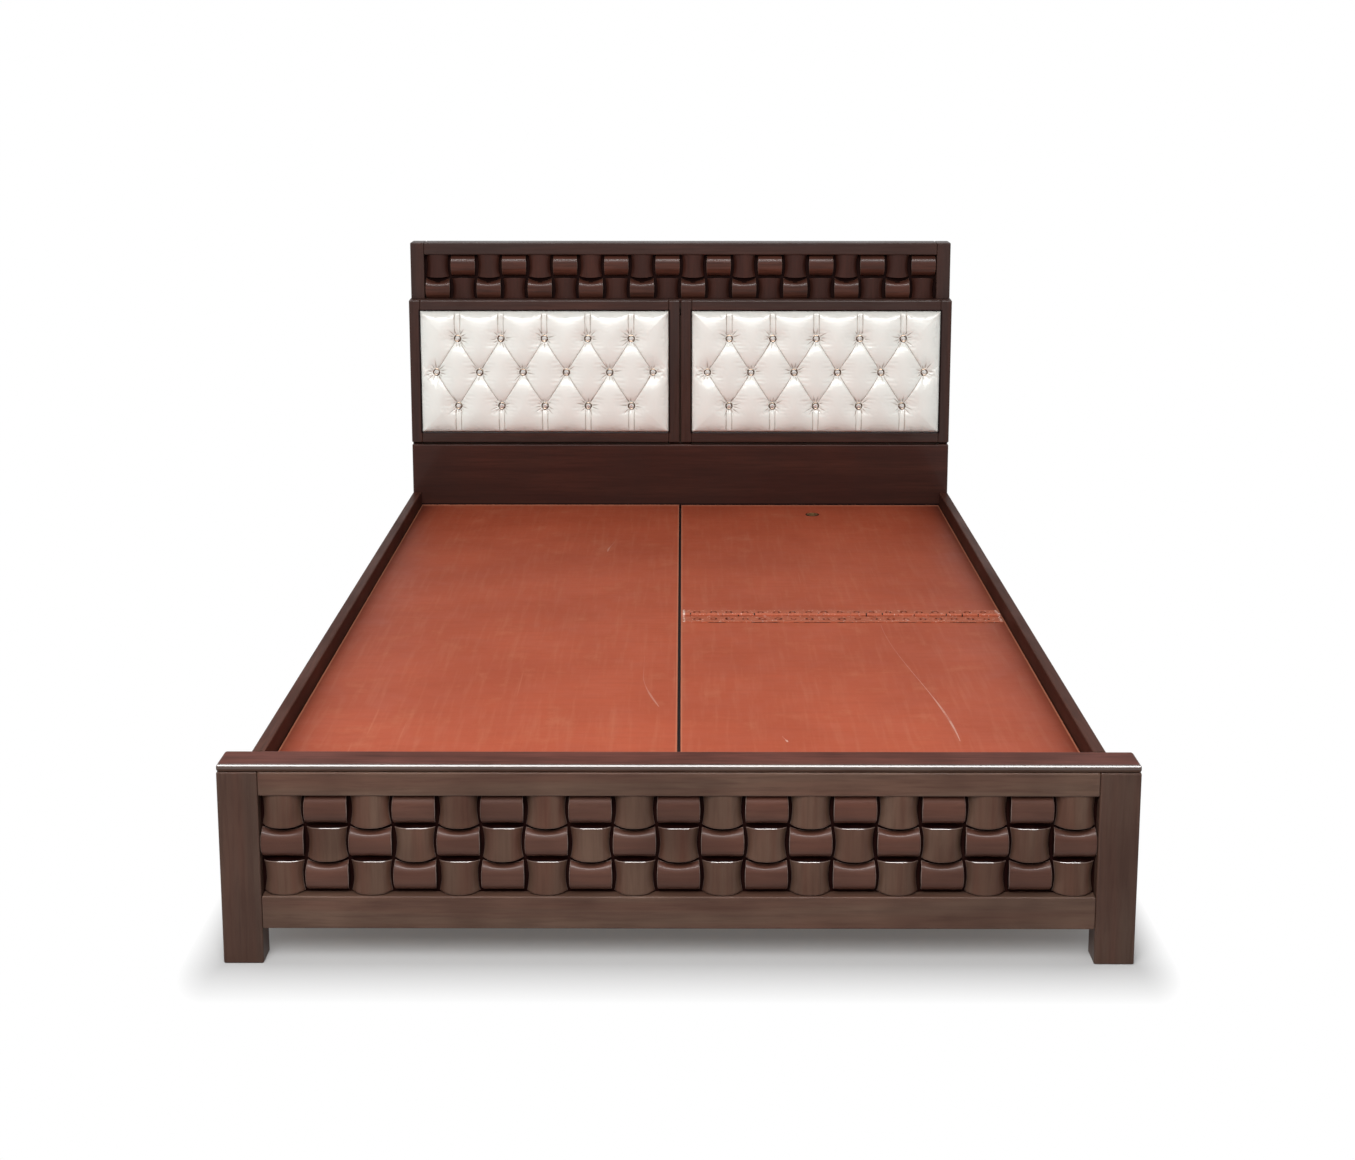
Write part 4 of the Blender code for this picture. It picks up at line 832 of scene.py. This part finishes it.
def add_box(bm, low, high):
    """Add a box between two corners to a bmesh."""
    low, high = Vector(low), Vector(high)
    place = Matrix.Translation((low + high) / 2) @ Matrix.Diagonal((*(high - low), 1))
    bmesh.ops.create_cube(bm, size=1, matrix=place)


def facing_grid(bm, centre, half_width, half_height, columns, rows):
    """Add a flat grid that faces the foot end, and return its points."""
    place = (Matrix.Translation(centre) @ Matrix.Rotation(math.pi / 2, 4, "X")
             @ Matrix.Diagonal((half_width, half_height, 1, 1)))
    return bmesh.ops.create_grid(bm, x_segments=columns, y_segments=rows, size=1, matrix=place)["verts"]


def rim_edges(verts):
    """The open edges of a grid."""
    return [edge for edge in {edge for vert in verts for edge in vert.link_edges} if edge.is_boundary]


def close_back(bm, rim, back):
    """Skirt a grid's rim straight back to a plane and close it there."""
    skirt = bmesh.ops.extrude_edge_only(bm, edges=rim)["geom"]
    for vert in skirt:
        if isinstance(vert, bmesh.types.BMVert):
            vert.co.y = back
    far_edges = [edge for edge in skirt if isinstance(edge, bmesh.types.BMEdge) and edge.is_boundary]
    bmesh.ops.contextual_create(bm, geom=far_edges)


def woven_block(bm, centre, half_width, half_height, upright, dip, sizes):
    """Add one block: an upright one arches across, a lying one up and down, and both have chamfered rims with
    a finish of their own.
    """
    short = sizes.stand if upright else sizes.lift
    centre = centre + Z_AXIS * short / 2
    half_height -= short / 2
    verts = facing_grid(bm, centre, half_width, half_height, sizes.steps, sizes.steps)
    for face in {face for vert in verts for face in vert.link_faces}:
        face.material_index = 0 if upright else 1
    for vert in verts:
        u = (vert.co.x - centre.x) / half_width
        v = (vert.co.z - centre.z) / half_height
        if upright:
            vert.co.y -= sizes.edge + sizes.arch * (1 - abs(u) ** (sizes.flatness - 1))
            vert.co.x -= u * sizes.waist * (1 - v * v)
            vert.co.z += v * sizes.bow * (1 - u * u)
        else:
            vert.co.y -= sizes.edge + sizes.arch * (1 - abs(v) ** sizes.flatness)
            vert.co.x += u * sizes.waist / 2 * (1 - v * v)
            vert.co.z -= max(0.0, v) ** 2 * dip * (1 - u * u)
    rim = rim_edges(verts)
    close_back(bm, rim, centre.y + MM)
    # The block's sides take the pooled stain, darkened as painted shade
    for face in {face for edge in rim for face in edge.link_faces if abs(face.normal.y) < SIDE_FACE}:
        face.material_index = 2
    made = bmesh.ops.bevel(bm, geom=rim, offset=sizes.rim, segments=1, profile=0.5, affect="EDGES",
                           material=-1)
    for face in made["faces"]:
        face.material_index = 3 if upright else 4


def woven_blocks(context, name, node_name, columns, rows, gap, dip, finishes):
    """A board with a block in every cell, upright and lying in turn, in place of a woven panel's solid."""
    sizes = context.scene.storage_bed.weave
    low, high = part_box(node_name)
    board_front = low.y + sizes.arch + sizes.edge
    cell = Vector(((high.x - low.x) / columns, 0, (high.z - low.z) / rows))
    bm = bmesh.new()
    add_box(bm, (low.x, board_front, low.z), high)
    for face in bm.faces:
        face.material_index = 2
    for row in range(rows):
        for column in range(columns):
            upright = (row + column) % 2 == 0
            centre = Vector((low.x + cell.x * (column + 0.5), board_front, high.z - cell.z * (row + 0.5)))
            sag = dip if row else 0.0
            woven_block(bm, centre, cell.x / 2 - gap, cell.z / 2 - sizes.margin, upright, sag, sizes)
    bmesh.ops.recalc_face_normals(bm, faces=bm.faces)
    piece = new_piece(name, bm, *[finish_of(context, finish) for finish in finishes])
    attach(piece, "bed_frame")
    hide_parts(node_name)


def cap_nosing(context):
    """A burnished bead along the top front corner of the footboard's cap."""
    sizes = context.scene.storage_bed.nosing
    low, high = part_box("foot_cap_rail")
    start = Vector((low.x + sizes.short, low.y + sizes.inset, high.z - sizes.inset))
    bm = bmesh.new()
    place = Matrix.Translation(start) @ Matrix.Rotation(math.pi / 2, 4, "Y")
    bmesh.ops.create_circle(bm, cap_ends=True, segments=12, radius=sizes.radius, matrix=place)
    drawn = bmesh.ops.extrude_face_region(bm, geom=bm.faces[:])["geom"]
    ends = [item for item in drawn if isinstance(item, bmesh.types.BMVert)]
    bmesh.ops.translate(bm, verts=ends, vec=(high.x - low.x - 2 * sizes.short, 0, 0))
    bmesh.ops.recalc_face_normals(bm, faces=bm.faces)
    piece = new_piece("foot_cap_nosing", bm, finish_of(context, "nosing"))
    piece.data.shade_flat()
    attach(piece, "bed_frame")


class PadLayout:
    """Where one door's pad, its pleats and its buttons lie, measured from the pad's middle."""

    def __init__(self, door, sizes):
        low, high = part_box(f"door_{door}_pad")
        self.sizes = sizes
        self.centre = (low + high) / 2
        self.half_width = (high.x - low.x) / 2
        self.half_height = (high.z - low.z) / 2
        self.back = high.y
        self.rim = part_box(f"door_{door}_inner_stile")[0].y + sizes.rim_step
        self.reach = self.half_width - sizes.side_margin
        self.column_pitch = 2 * self.reach / (sizes.columns - 1)
        self.row_pitch = self.half_height - sizes.row_margin
        self.buttons = []
        for row in (1, 0, -1):
            count = sizes.columns - abs(row)
            for column in range(count):
                self.buttons.append((self.column_pitch * (column - (count - 1) / 2), row * self.row_pitch))

    def from_middle(self, point):
        """A point's x and z from the pad's middle."""
        return point.x - self.centre.x, point.z - self.centre.z

    def nearest_button(self, x, z):
        """The nearest button's number and its distance."""
        distances = [math.hypot(x - button_x, z - button_z) for button_x, button_z in self.buttons]
        distance = min(distances)
        return distances.index(distance), distance

    def inset(self, x, z):
        """How far a point lies inside the pad's edge."""
        return max(0.0, min(self.half_width - abs(x), self.half_height - abs(z)))

    def pleat_distance(self, x, z):
        """How far a point is from the nearest pleat's middle line."""
        if abs(x) > self.reach:
            return self.half_width
        across = x / self.column_pitch + self.sizes.columns / 2 - 0.5
        if abs(z) > self.row_pitch:
            across -= 0.5
            return abs(across - round(across)) * self.column_pitch
        up = z / self.row_pitch / 2
        slope = math.hypot(1 / self.column_pitch, 0.5 / self.row_pitch)
        return min(abs(line - round(line)) for line in (across + up, across - up)) / slope

    def rise(self, x, z):
        """How far the cover stands out from the rim before it is stuffed."""
        sizes = self.sizes
        inset = self.inset(x, z)
        tight = math.sqrt(1 - (1 - min(1.0, inset / sizes.rim_width)) ** 2)
        eased = math.sin(math.pi / 2 * min(1.0, inset / sizes.roll))
        crown = sizes.rim_rise * tight + (sizes.crown - sizes.rim_rise) * eased
        clear = max(0.0, self.nearest_button(x, z)[1] - sizes.button_clear)
        dimple = sizes.tuft * math.exp(-(clear / sizes.dimple) ** 1.3)
        valley = sizes.valley * math.exp(-self.pleat_distance(x, z) / sizes.valley_width)
        return crown - (dimple + valley) * smooth_step(inset, 0.0, sizes.side_margin)

    def pleat_groups(self):
        """The pleats in groups of parallel lines: the direction across them, half a pleat's width, the lines'
        places along that direction, and 1, 0 or -1 for the upper border, the middle or the lower border."""
        sizes = self.sizes
        columns = [self.column_pitch * (column - (sizes.columns - 1) / 2) for column in range(sizes.columns)]
        groups = []
        for slant in (1, -1):
            normal = Vector((1 / self.column_pitch, 0, slant * 0.5 / self.row_pitch)).normalized()
            groups.append((normal, sizes.pleat, [normal.x * x for x in columns], 0))
        for side in (1, -1):
            outer = [x for x, z in self.buttons if z * side > 0]
            groups.append((X_AXIS, sizes.border_pleat, outer, side))
        return groups


def smooth_step(value, low, high):
    """Ease from 0 at low to 1 at high."""
    share = max(0.0, min(1.0, (value - low) / (high - low)))
    return share * share * (3 - 2 * share)


def stuff(piece, pinned, sizes):
    """Press stuffing against the cover, which its rim, pleats and buttons hold, and keep the result."""
    group = piece.vertex_groups.new(name="sewn")
    group.add(pinned, 1.0, "REPLACE")
    cloth = piece.modifiers.new("Stuffing", "CLOTH")
    cloth.settings.quality = 4
    cloth.settings.mass = 0.001
    cloth.settings.tension_stiffness = 5
    cloth.settings.compression_stiffness = 5
    cloth.settings.shrink_min = -sizes.slack
    cloth.settings.vertex_group_mass = "sewn"
    cloth.settings.use_pressure = True
    cloth.settings.uniform_pressure_force = sizes.pressure
    cloth.settings.effector_weights.gravity = 0
    cloth.collision_settings.use_collision = False
    cloth.point_cache.frame_start = 1
    cloth.point_cache.frame_end = sizes.frames
    scene = bpy.context.scene
    for step in range(1, sizes.frames + 1):
        scene.frame_set(step)
    stuffed = piece.evaluated_get(bpy.context.evaluated_depsgraph_get()).to_mesh()
    for vert, moved in zip(piece.data.vertices, stuffed.vertices):
        step = moved.co - vert.co
        vert.co += step * min(1.0, sizes.swell / max(step.length, MM * MM))
    piece.to_mesh_clear()
    piece.modifiers.remove(cloth)
    piece.vertex_groups.remove(group)
    scene.frame_set(1)


def cut_creases(bm, layout):
    """Cut the cover along the creases of every pleat, so that they fold on sharp lines."""
    sizes = layout.sizes
    for normal, half, lines, side in layout.pleat_groups():
        near = {line: [] for line in lines}
        for face in bm.faces:
            x, z = layout.from_middle(face.calc_center_median())
            if side:
                inside = z * side > layout.row_pitch
            else:
                inside = abs(z) < layout.row_pitch and abs(x) < layout.reach
            if inside:
                across = normal.x * x + normal.z * z
                line = min(lines, key=lambda place: abs(across - place))
                if abs(across - line) < half + 3 * sizes.crease_width:
                    near[line].append(face)
        for line, faces in near.items():
            edges = {edge for face in faces for edge in face.edges}
            verts = {vert for face in faces for vert in face.verts}
            geom = [*verts, *edges, *faces]
            for crease in {-half, half}:
                point = layout.centre + normal * (line + crease)
                made = bmesh.ops.bisect_plane(bm, geom=geom, dist=MM / 20, plane_co=point, plane_no=normal)
                geom = made["geom"]


def sew_pleats(bm, layout, seed):
    """Press the pleats' creases and the buttons' puckers into the stuffed cover, and note the shade to paint
    where it folds, round its buttons, along its foot and below its top.
    """
    sizes = layout.sizes
    draw = random.Random(seed)
    step = math.tau / sizes.puckers
    starts = [draw.uniform(0, step) for _ in layout.buttons]
    reaches = [[draw.uniform(0.2, 1.0) * sizes.pucker_reach for _ in range(sizes.puckers)]
               for _ in layout.buttons]
    fold = bm.verts.layers.float.new("fold")
    for vert in bm.verts:
        x, z = layout.from_middle(vert.co)
        button, distance = layout.nearest_button(x, z)
        edge = smooth_step(layout.inset(x, z), 0.0, sizes.soft_edge)
        half = sizes.border_pleat if abs(z) > layout.row_pitch else sizes.pleat
        off = abs(layout.pleat_distance(x, z) - half)
        crease = max(0.0, 1 - off / sizes.crease_width) * edge
        crease *= smooth_step(distance, sizes.button_clear, 2 * sizes.button_clear)
        turn = math.atan2(z - layout.buttons[button][1], x - layout.buttons[button][0]) + starts[button]
        number = round(turn / step)
        reach = reaches[button][number % sizes.puckers]
        off = distance * math.sin(turn - number * step)
        pucker = math.exp(-(off / sizes.pucker_width) ** 2) * edge * smooth_step(distance, reach, reach / 2)
        pucker *= smooth_step(distance, 1.05 * sizes.button_clear, 1.6 * sizes.button_clear)
        vert.co.y += sizes.crease_depth * crease + sizes.pucker_depth * pucker
        # painted shade along the foot and below the top
        pad_end_shade = sizes.pad_foot_shade * smooth_step(layout.half_height + z, sizes.pad_foot_shade_reach, 0.0)
        pad_end_shade += sizes.pad_top_shade * smooth_step(layout.half_height - z, sizes.pad_top_shade_reach,
                                             sizes.pad_top_shade_full)
        dent = smooth_step(distance, sizes.dent_far, sizes.dent_near)
        vert[fold] = min(1.0, CREASE_SHADE * crease + PUCKER_SHADE * pucker + DENT_SHADE * dent + pad_end_shade)


def tufted_pad(context, door, body, seed):
    """A door's tufted pad: cloth stuffed between its buttons and pleats, creased, and closed at the back."""
    sizes = context.scene.storage_bed.pads
    layout = PadLayout(door, sizes)
    columns = round(2 * layout.half_width / sizes.grid)
    rows = round(2 * layout.half_height / sizes.grid)
    bm = bmesh.new()
    face = Vector((layout.centre.x, layout.rim, layout.centre.z))
    facing_grid(bm, face, layout.half_width, layout.half_height, columns, rows)
    bm.verts.index_update()
    pinned = []
    for vert in bm.verts:
        x, z = layout.from_middle(vert.co)
        vert.co.y -= layout.rise(x, z)
        near = layout.nearest_button(x, z)[1]
        if vert.is_boundary or near < sizes.button_clear or layout.pleat_distance(x, z) < sizes.grid * 0.6:
            pinned.append(vert.index)
    piece = new_piece(f"{door}_door_tufted_pad", bm, finish_of(context, "leather"))
    stuff(piece, pinned, sizes)
    bm = bmesh.new()
    bm.from_mesh(piece.data)
    bmesh.ops.subdivide_edges(bm, edges=bm.edges, cuts=1, use_grid_fill=True, smooth=1.0)
    near = {vert for vert in bm.verts
            if layout.nearest_button(*layout.from_middle(vert.co))[1] < sizes.pucker_reach}
    fine = [edge for edge in bm.edges if edge.verts[0] in near and edge.verts[1] in near]
    bmesh.ops.subdivide_edges(bm, edges=fine, cuts=1, use_grid_fill=True, smooth=1.0)
    cut_creases(bm, layout)
    sew_pleats(bm, layout, seed)
    close_back(bm, [edge for edge in bm.edges if edge.is_boundary], layout.back)
    bmesh.ops.recalc_face_normals(bm, faces=bm.faces)
    bm.to_mesh(piece.data)
    bm.free()
    piece.data.shade_smooth()
    piece.data.set_sharp_from_angle(angle=PAD_ANGLE)
    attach(piece, body)
    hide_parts(f"door_{door}_pad")


def turned(bm, profile, steps, place):
    """Add a shape turned round Z from (radius, height) points, and put it in place."""
    before = set(bm.verts)
    verts = [bm.verts.new((radius, 0, height)) for radius, height in profile]
    edges = [bm.edges.new(pair) for pair in zip(verts, verts[1:])]
    bmesh.ops.spin(bm, geom=verts + edges, cent=(0, 0, 0), axis=(0, 0, 1), angle=math.tau, steps=steps,
                   use_merge=True)
    made = [vert for vert in bm.verts if vert not in before]
    bmesh.ops.remove_doubles(bm, verts=made, dist=MM / 100)
    made = [vert for vert in bm.verts if vert not in before]
    bmesh.ops.transform(bm, verts=made, matrix=place)


def crystal_buttons(context, door, body):
    """A door's buttons: cut crystals in metal rims, one in every tuft."""
    looks = context.scene.storage_bed
    sizes = looks.buttons
    layout = PadLayout(door, looks.pads)
    rims, crystals = bmesh.new(), bmesh.new()
    circle = [math.tau * step / WIRE_STEPS for step in range(WIRE_STEPS + 1)]
    wire = [(sizes.ring + sizes.wire * math.cos(turn), sizes.wire * math.sin(turn)) for turn in circle]
    facets = [(0, 0), (sizes.crystal, 0), (sizes.crystal, sizes.height * 0.3), (sizes.table, sizes.height),
              (0, sizes.height)]
    for x, z in layout.buttons:
        seat = layout.rim - layout.rise(x, z) - sizes.wire * 0.8
        place = (Matrix.Translation((layout.centre.x + x, seat, layout.centre.z + z))
                 @ Matrix.Rotation(math.pi / 2, 4, "X"))
        turned(rims, wire, RIM_STEPS, place)
        turned(crystals, facets, FACETS, place)
    for bm, name, finish, slot in ((rims, "button_rims", "rim", "bronzed_steel"),
                                   (crystals, "button_crystals", "crystal", "zinc_steel")):
        bmesh.ops.recalc_face_normals(bm, faces=bm.faces)
        piece = new_piece(f"{door}_door_{name}", bm, finish_of(context, finish))
        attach(piece, body)


def hinge_screws(context, name, leaf, body, side):
    """A row of countersunk screws along one leaf of the lid's hinge, thick with paint."""
    sizes = context.scene.storage_bed.hinge
    low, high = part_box(leaf)
    plate_top = low.z + sizes.plate
    count = math.floor((high.x - low.x) / sizes.pitch)
    first = (low.x + high.x) / 2 - sizes.pitch * (count - 1) / 2
    lip, well, head = sizes.lip, sizes.well, sizes.head
    profile = [(0, -lip / 2), (well + lip * 2, -lip / 2), (well + lip, lip), (well, lip * 0.3),
               (head * 1.02, lip * 0.15), (head, lip * 0.8), (head * 0.6, lip * 1.2), (0, lip * 1.3)]
    draw = random.Random(name)
    screws = []
    bm = bmesh.new()
    for number in range(count):
        centre = Vector((first + number * sizes.pitch, hinge_line() + side * sizes.row, plate_top))
        centre += Vector((draw.uniform(-1, 1), draw.uniform(-1, 1), 0)) * sizes.stray
        wide = 1 - draw.random() * sizes.uneven
        screws.append((centre, wide))
        turned(bm, profile, SCREW_STEPS, Matrix.Translation(centre) @ Matrix.Diagonal((wide, wide, 1, 1)))
    bmesh.ops.recalc_face_normals(bm, faces=bm.faces)
    for face in bm.faces:
        middle = face.calc_center_median()
        centre, wide = min(screws, key=lambda screw: abs(screw[0].x - middle.x))
        off = (middle - centre).xy.length / wide
        # Faces inside a well take its dark finish, painted shade with dirt
        face.material_index = int(head < off < well and middle.z > plate_top)
    piece = new_piece(name, bm, finish_of(context, "painted steel"), finish_of(context, "well"))
    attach(piece, body)


class BED_OT_stage(bpy.types.Operator):
    """Set the camera, the lights and the pale floor."""
    bl_idname = "storage_bed.stage"
    bl_label = "Stage"

    def execute(self, context):
        looks = context.scene.storage_bed
        sizes = looks.stage
        lens = bpy.data.cameras.new("photo camera")
        lens.sensor_width = PHOTO_SENSOR
        lens.lens = sizes.lens
        lens.shift_y = sizes.shift
        camera = bpy.data.objects.new("photo camera", lens)
        camera.location = sizes.camera
        camera.rotation_euler = (math.pi / 2 - sizes.tilt, 0, sizes.turn)
        context.scene.collection.objects.link(camera)
        context.scene.camera = camera
        context.scene.view_settings.view_transform = "Standard"

        softbox = self.lamp(context, "softbox", sizes.key, sizes.key_power, sizes.key_size, sizes.key_size)
        softbox.visible_glossy = False
        strip = self.lamp(context, "strip", sizes.strip, sizes.strip_power, sizes.strip_length,
                          sizes.strip_width)
        strip.visible_diffuse = False
        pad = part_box("door_left_pad")[0]
        sheen = self.lamp(context, "sheen", sizes.sheen, sizes.sheen_power, sizes.sheen_length,
                          sizes.sheen_width, aim=pad.z * Z_AXIS + pad.y * Y_AXIS)
        sheen.visible_diffuse = False
        sheen.visible_camera = False
        for name, way, power in (("back fill", Y_AXIS, sizes.back_power),
                                 ("left fill", -X_AXIS, sizes.side_power),
                                 ("right fill", X_AXIS, sizes.side_power)):
            weak = self.lamp(context, name, way * sizes.fill_distance + Z_AXIS * sizes.fill_height, power,
                             *sizes.fill_size)
            weak.visible_glossy = False
            weak.visible_camera = False
        self.white_room(context, sizes)
        self.floor(context, looks)
        return {"FINISHED"}

    def lamp(self, context, name, place, power, across, deep, aim=LAMP_AIM):
        """A flat lamp that faces the middle of the bed or another point."""
        light = bpy.data.lights.new(name, "AREA")
        light.shape = "RECTANGLE"
        light.energy = power
        light.size = across
        light.size_y = deep
        lamp = bpy.data.objects.new(name, light)
        lamp.location = place
        lamp.rotation_euler = (aim - lamp.location).to_track_quat("-Z", "Y").to_euler()
        context.scene.collection.objects.link(lamp)
        return lamp

    def white_room(self, context, sizes):
        """A soft white room that the camera and the gloss see as plain white."""
        world = bpy.data.worlds.new("white room")
        world.use_nodes = True
        context.scene.world = world
        tree = world.node_tree
        seen = self.seen_rays(tree)
        strength = node(tree, "MapRange", {"Value": seen, "To Min": sizes.ambient, "To Max": 1.0})
        fill(tree, tree.nodes["Background"], {"Color": (1, 1, 1, 1), "Strength": strength})

    def seen_rays(self, tree):
        """1 for the rays of the camera, the gloss and the glass."""
        path = node(tree, "LightPath")
        seen = node(tree, "Math", {0: path.outputs["Is Camera Ray"], 1: path.outputs["Is Glossy Ray"]},
                    operation="MAXIMUM")
        return node(tree, "Math", {0: seen, 1: path.outputs["Is Transmission Ray"]}, operation="MAXIMUM")

    def floor(self, context, looks):
        """A pale floor that keeps the bed's shadow and fades to plain white away from it."""
        sizes = looks.stage
        bm = bmesh.new()
        bmesh.ops.create_grid(bm, x_segments=8, y_segments=8, size=sizes.floor_reach)
        material, tree, shader, place = new_material("pale floor")
        fill(tree, shader, {"Base Color": looks.finishes.floor, "Roughness": 0.8})
        outline = (*(CAD_BOX[1] - CAD_BOX[0]).xy / 2, 0)
        out = node(tree, "VectorMath", {0: place}, operation="ABSOLUTE")
        out = node(tree, "VectorMath", {0: out, 1: outline}, operation="SUBTRACT")
        out = node(tree, "VectorMath", {0: out, 1: (0, 0, 0)}, operation="MAXIMUM")
        out = node(tree, "VectorMath", {0: out, 1: (sizes.side_fade, 1, 1)}, operation="MULTIPLY")
        out = node(tree, "VectorMath", {0: out}, operation="LENGTH").outputs["Value"]
        fade = node(tree, "MapRange", {"Value": out, "From Min": sizes.fade_near, "From Max": sizes.fade_far,
                                        "To Min": 0.1})
        seen = node(tree, "Math", {0: fade, 1: self.seen_rays(tree)}, operation="MULTIPLY")
        white = node(tree, "Emission", {"Color": (1, 1, 1, 1), "Strength": 1.0})
        blend = node(tree, "MixShader", {0: seen, 1: shader, 2: white})
        fill(tree, tree.nodes["Material Output"], {"Surface": blend})
        new_piece("pale_floor", bm, material)


class BED_OT_timber(bpy.types.Operator):
    """Polish the posts, rails, ledge, panels and door frames."""
    bl_idname = "storage_bed.timber"
    bl_label = "Timber"

    def execute(self, context):
        finish_nodes(context, "cap", "foot rail", "lower panel", "head rail", "walnut x", "side rail",
                     "head stile", "walnut z")
        return {"FINISHED"}


class BED_OT_platform(bpy.types.Operator):
    """Paint the platform boards and the lid."""
    bl_idname = "storage_bed.platform"
    bl_label = "Platform"

    def execute(self, context):
        finish_nodes(context, "paint")
        return {"FINISHED"}


class BED_OT_carcass(bpy.types.Operator):
    """Leave the well, the bearers and the backs as bare ply and pine."""
    bl_idname = "storage_bed.carcass"
    bl_label = "Carcass"

    def execute(self, context):
        finish_nodes(context, "ply", "pine")
        return {"FINISHED"}


class BED_OT_hardware(bpy.types.Operator):
    """Finish the hinges, brackets, ring, strikes and catch."""
    bl_idname = "storage_bed.hardware"
    bl_label = "Hardware"

    def execute(self, context):
        finish_nodes(context, "painted steel", "brass", "zinc", "bronze", "plastic")
        return {"FINISHED"}


class BED_OT_woven_blocks(bpy.types.Operator):
    """Weave the blocks of the footboard and the headboard."""
    bl_idname = "storage_bed.woven_blocks"
    bl_label = "Woven blocks"

    def execute(self, context):
        sizes = context.scene.storage_bed.weave
        woven_blocks(context, "foot_woven_blocks", "foot_woven_panel", sizes.foot_columns, sizes.foot_rows,
                     sizes.foot_gap, sizes.foot_dip,
                     ("upright block", "lying block", "recess_stain_and_shade", "block rim", "block rim"))
        woven_blocks(context, "head_woven_blocks", "head_woven_panel", sizes.head_columns, sizes.head_rows,
                     sizes.head_gap, sizes.head_dip,
                     # the upright head blocks' rims take the dark pooled stain as painted shadow
                     ("head upright block", "head lying block", "recess_stain_and_shade", "recess_stain_and_shade", "head block rim"))
        return {"FINISHED"}


class BED_OT_cap_nosing(bpy.types.Operator):
    """Run a bead along the footboard's cap."""
    bl_idname = "storage_bed.cap_nosing"
    bl_label = "Cap nosing"

    def execute(self, context):
        cap_nosing(context)
        return {"FINISHED"}


class BED_OT_tufted_pads(bpy.types.Operator):
    """Stuff and sew the two doors' pads."""
    bl_idname = "storage_bed.tufted_pads"
    bl_label = "Tufted pads"

    def execute(self, context):
        for seed, (door, body) in enumerate(DOORS.items()):
            tufted_pad(context, door, body, seed)
        return {"FINISHED"}


class BED_OT_crystal_buttons(bpy.types.Operator):
    """Set a crystal button in every tuft."""
    bl_idname = "storage_bed.crystal_buttons"
    bl_label = "Crystal buttons"

    def execute(self, context):
        for door, body in DOORS.items():
            crystal_buttons(context, door, body)
        return {"FINISHED"}


class BED_OT_hinge_screws(bpy.types.Operator):
    """Screw the lid's hinge down on both sides."""
    bl_idname = "storage_bed.hinge_screws"
    bl_label = "Hinge screws"

    def execute(self, context):
        hinge_screws(context, "fixed_leaf_screws", "lid_hinge_fixed_leaf", "bed_frame", -1)
        hinge_screws(context, "moving_leaf_screws", "lid_hinge_moving_leaf", "platform_lid", 1)
        return {"FINISHED"}


OPERATORS = (BED_OT_stage, BED_OT_timber, BED_OT_platform, BED_OT_carcass, BED_OT_hardware,
             BED_OT_woven_blocks, BED_OT_cap_nosing, BED_OT_tufted_pads, BED_OT_crystal_buttons,
             BED_OT_hinge_screws)


class BED_PT_looks(bpy.types.Panel):
    """The bed's looks, one button for each step."""
    bl_idname = "BED_PT_looks"
    bl_label = "Storage bed"
    bl_space_type = "VIEW_3D"
    bl_region_type = "UI"
    bl_category = "Storage bed"

    def draw(self, context):
        for operator in OPERATORS:
            self.layout.operator(operator.bl_idname)


CLASSES = (WeaveSizes, NosingSizes, PadSizes, ButtonSizes, HingeSizes, Finishes, StageSizes, StorageBedLooks,
           *OPERATORS, BED_PT_looks)


def register():
    for item in CLASSES:
        bpy.utils.register_class(item)
    bpy.types.Scene.storage_bed = PointerProperty(type=StorageBedLooks)


def unregister():
    del bpy.types.Scene.storage_bed
    for item in reversed(CLASSES):
        bpy.utils.unregister_class(item)


def main():
    """Dress the bed step by step."""
    register()
    bpy.ops.storage_bed.stage()
    bpy.ops.storage_bed.timber()
    bpy.ops.storage_bed.platform()
    bpy.ops.storage_bed.carcass()
    bpy.ops.storage_bed.hardware()
    bpy.ops.storage_bed.woven_blocks()
    bpy.ops.storage_bed.cap_nosing()
    bpy.ops.storage_bed.tufted_pads()
    bpy.ops.storage_bed.crystal_buttons()
    bpy.ops.storage_bed.hinge_screws()


if __name__ == "__main__":
    main()
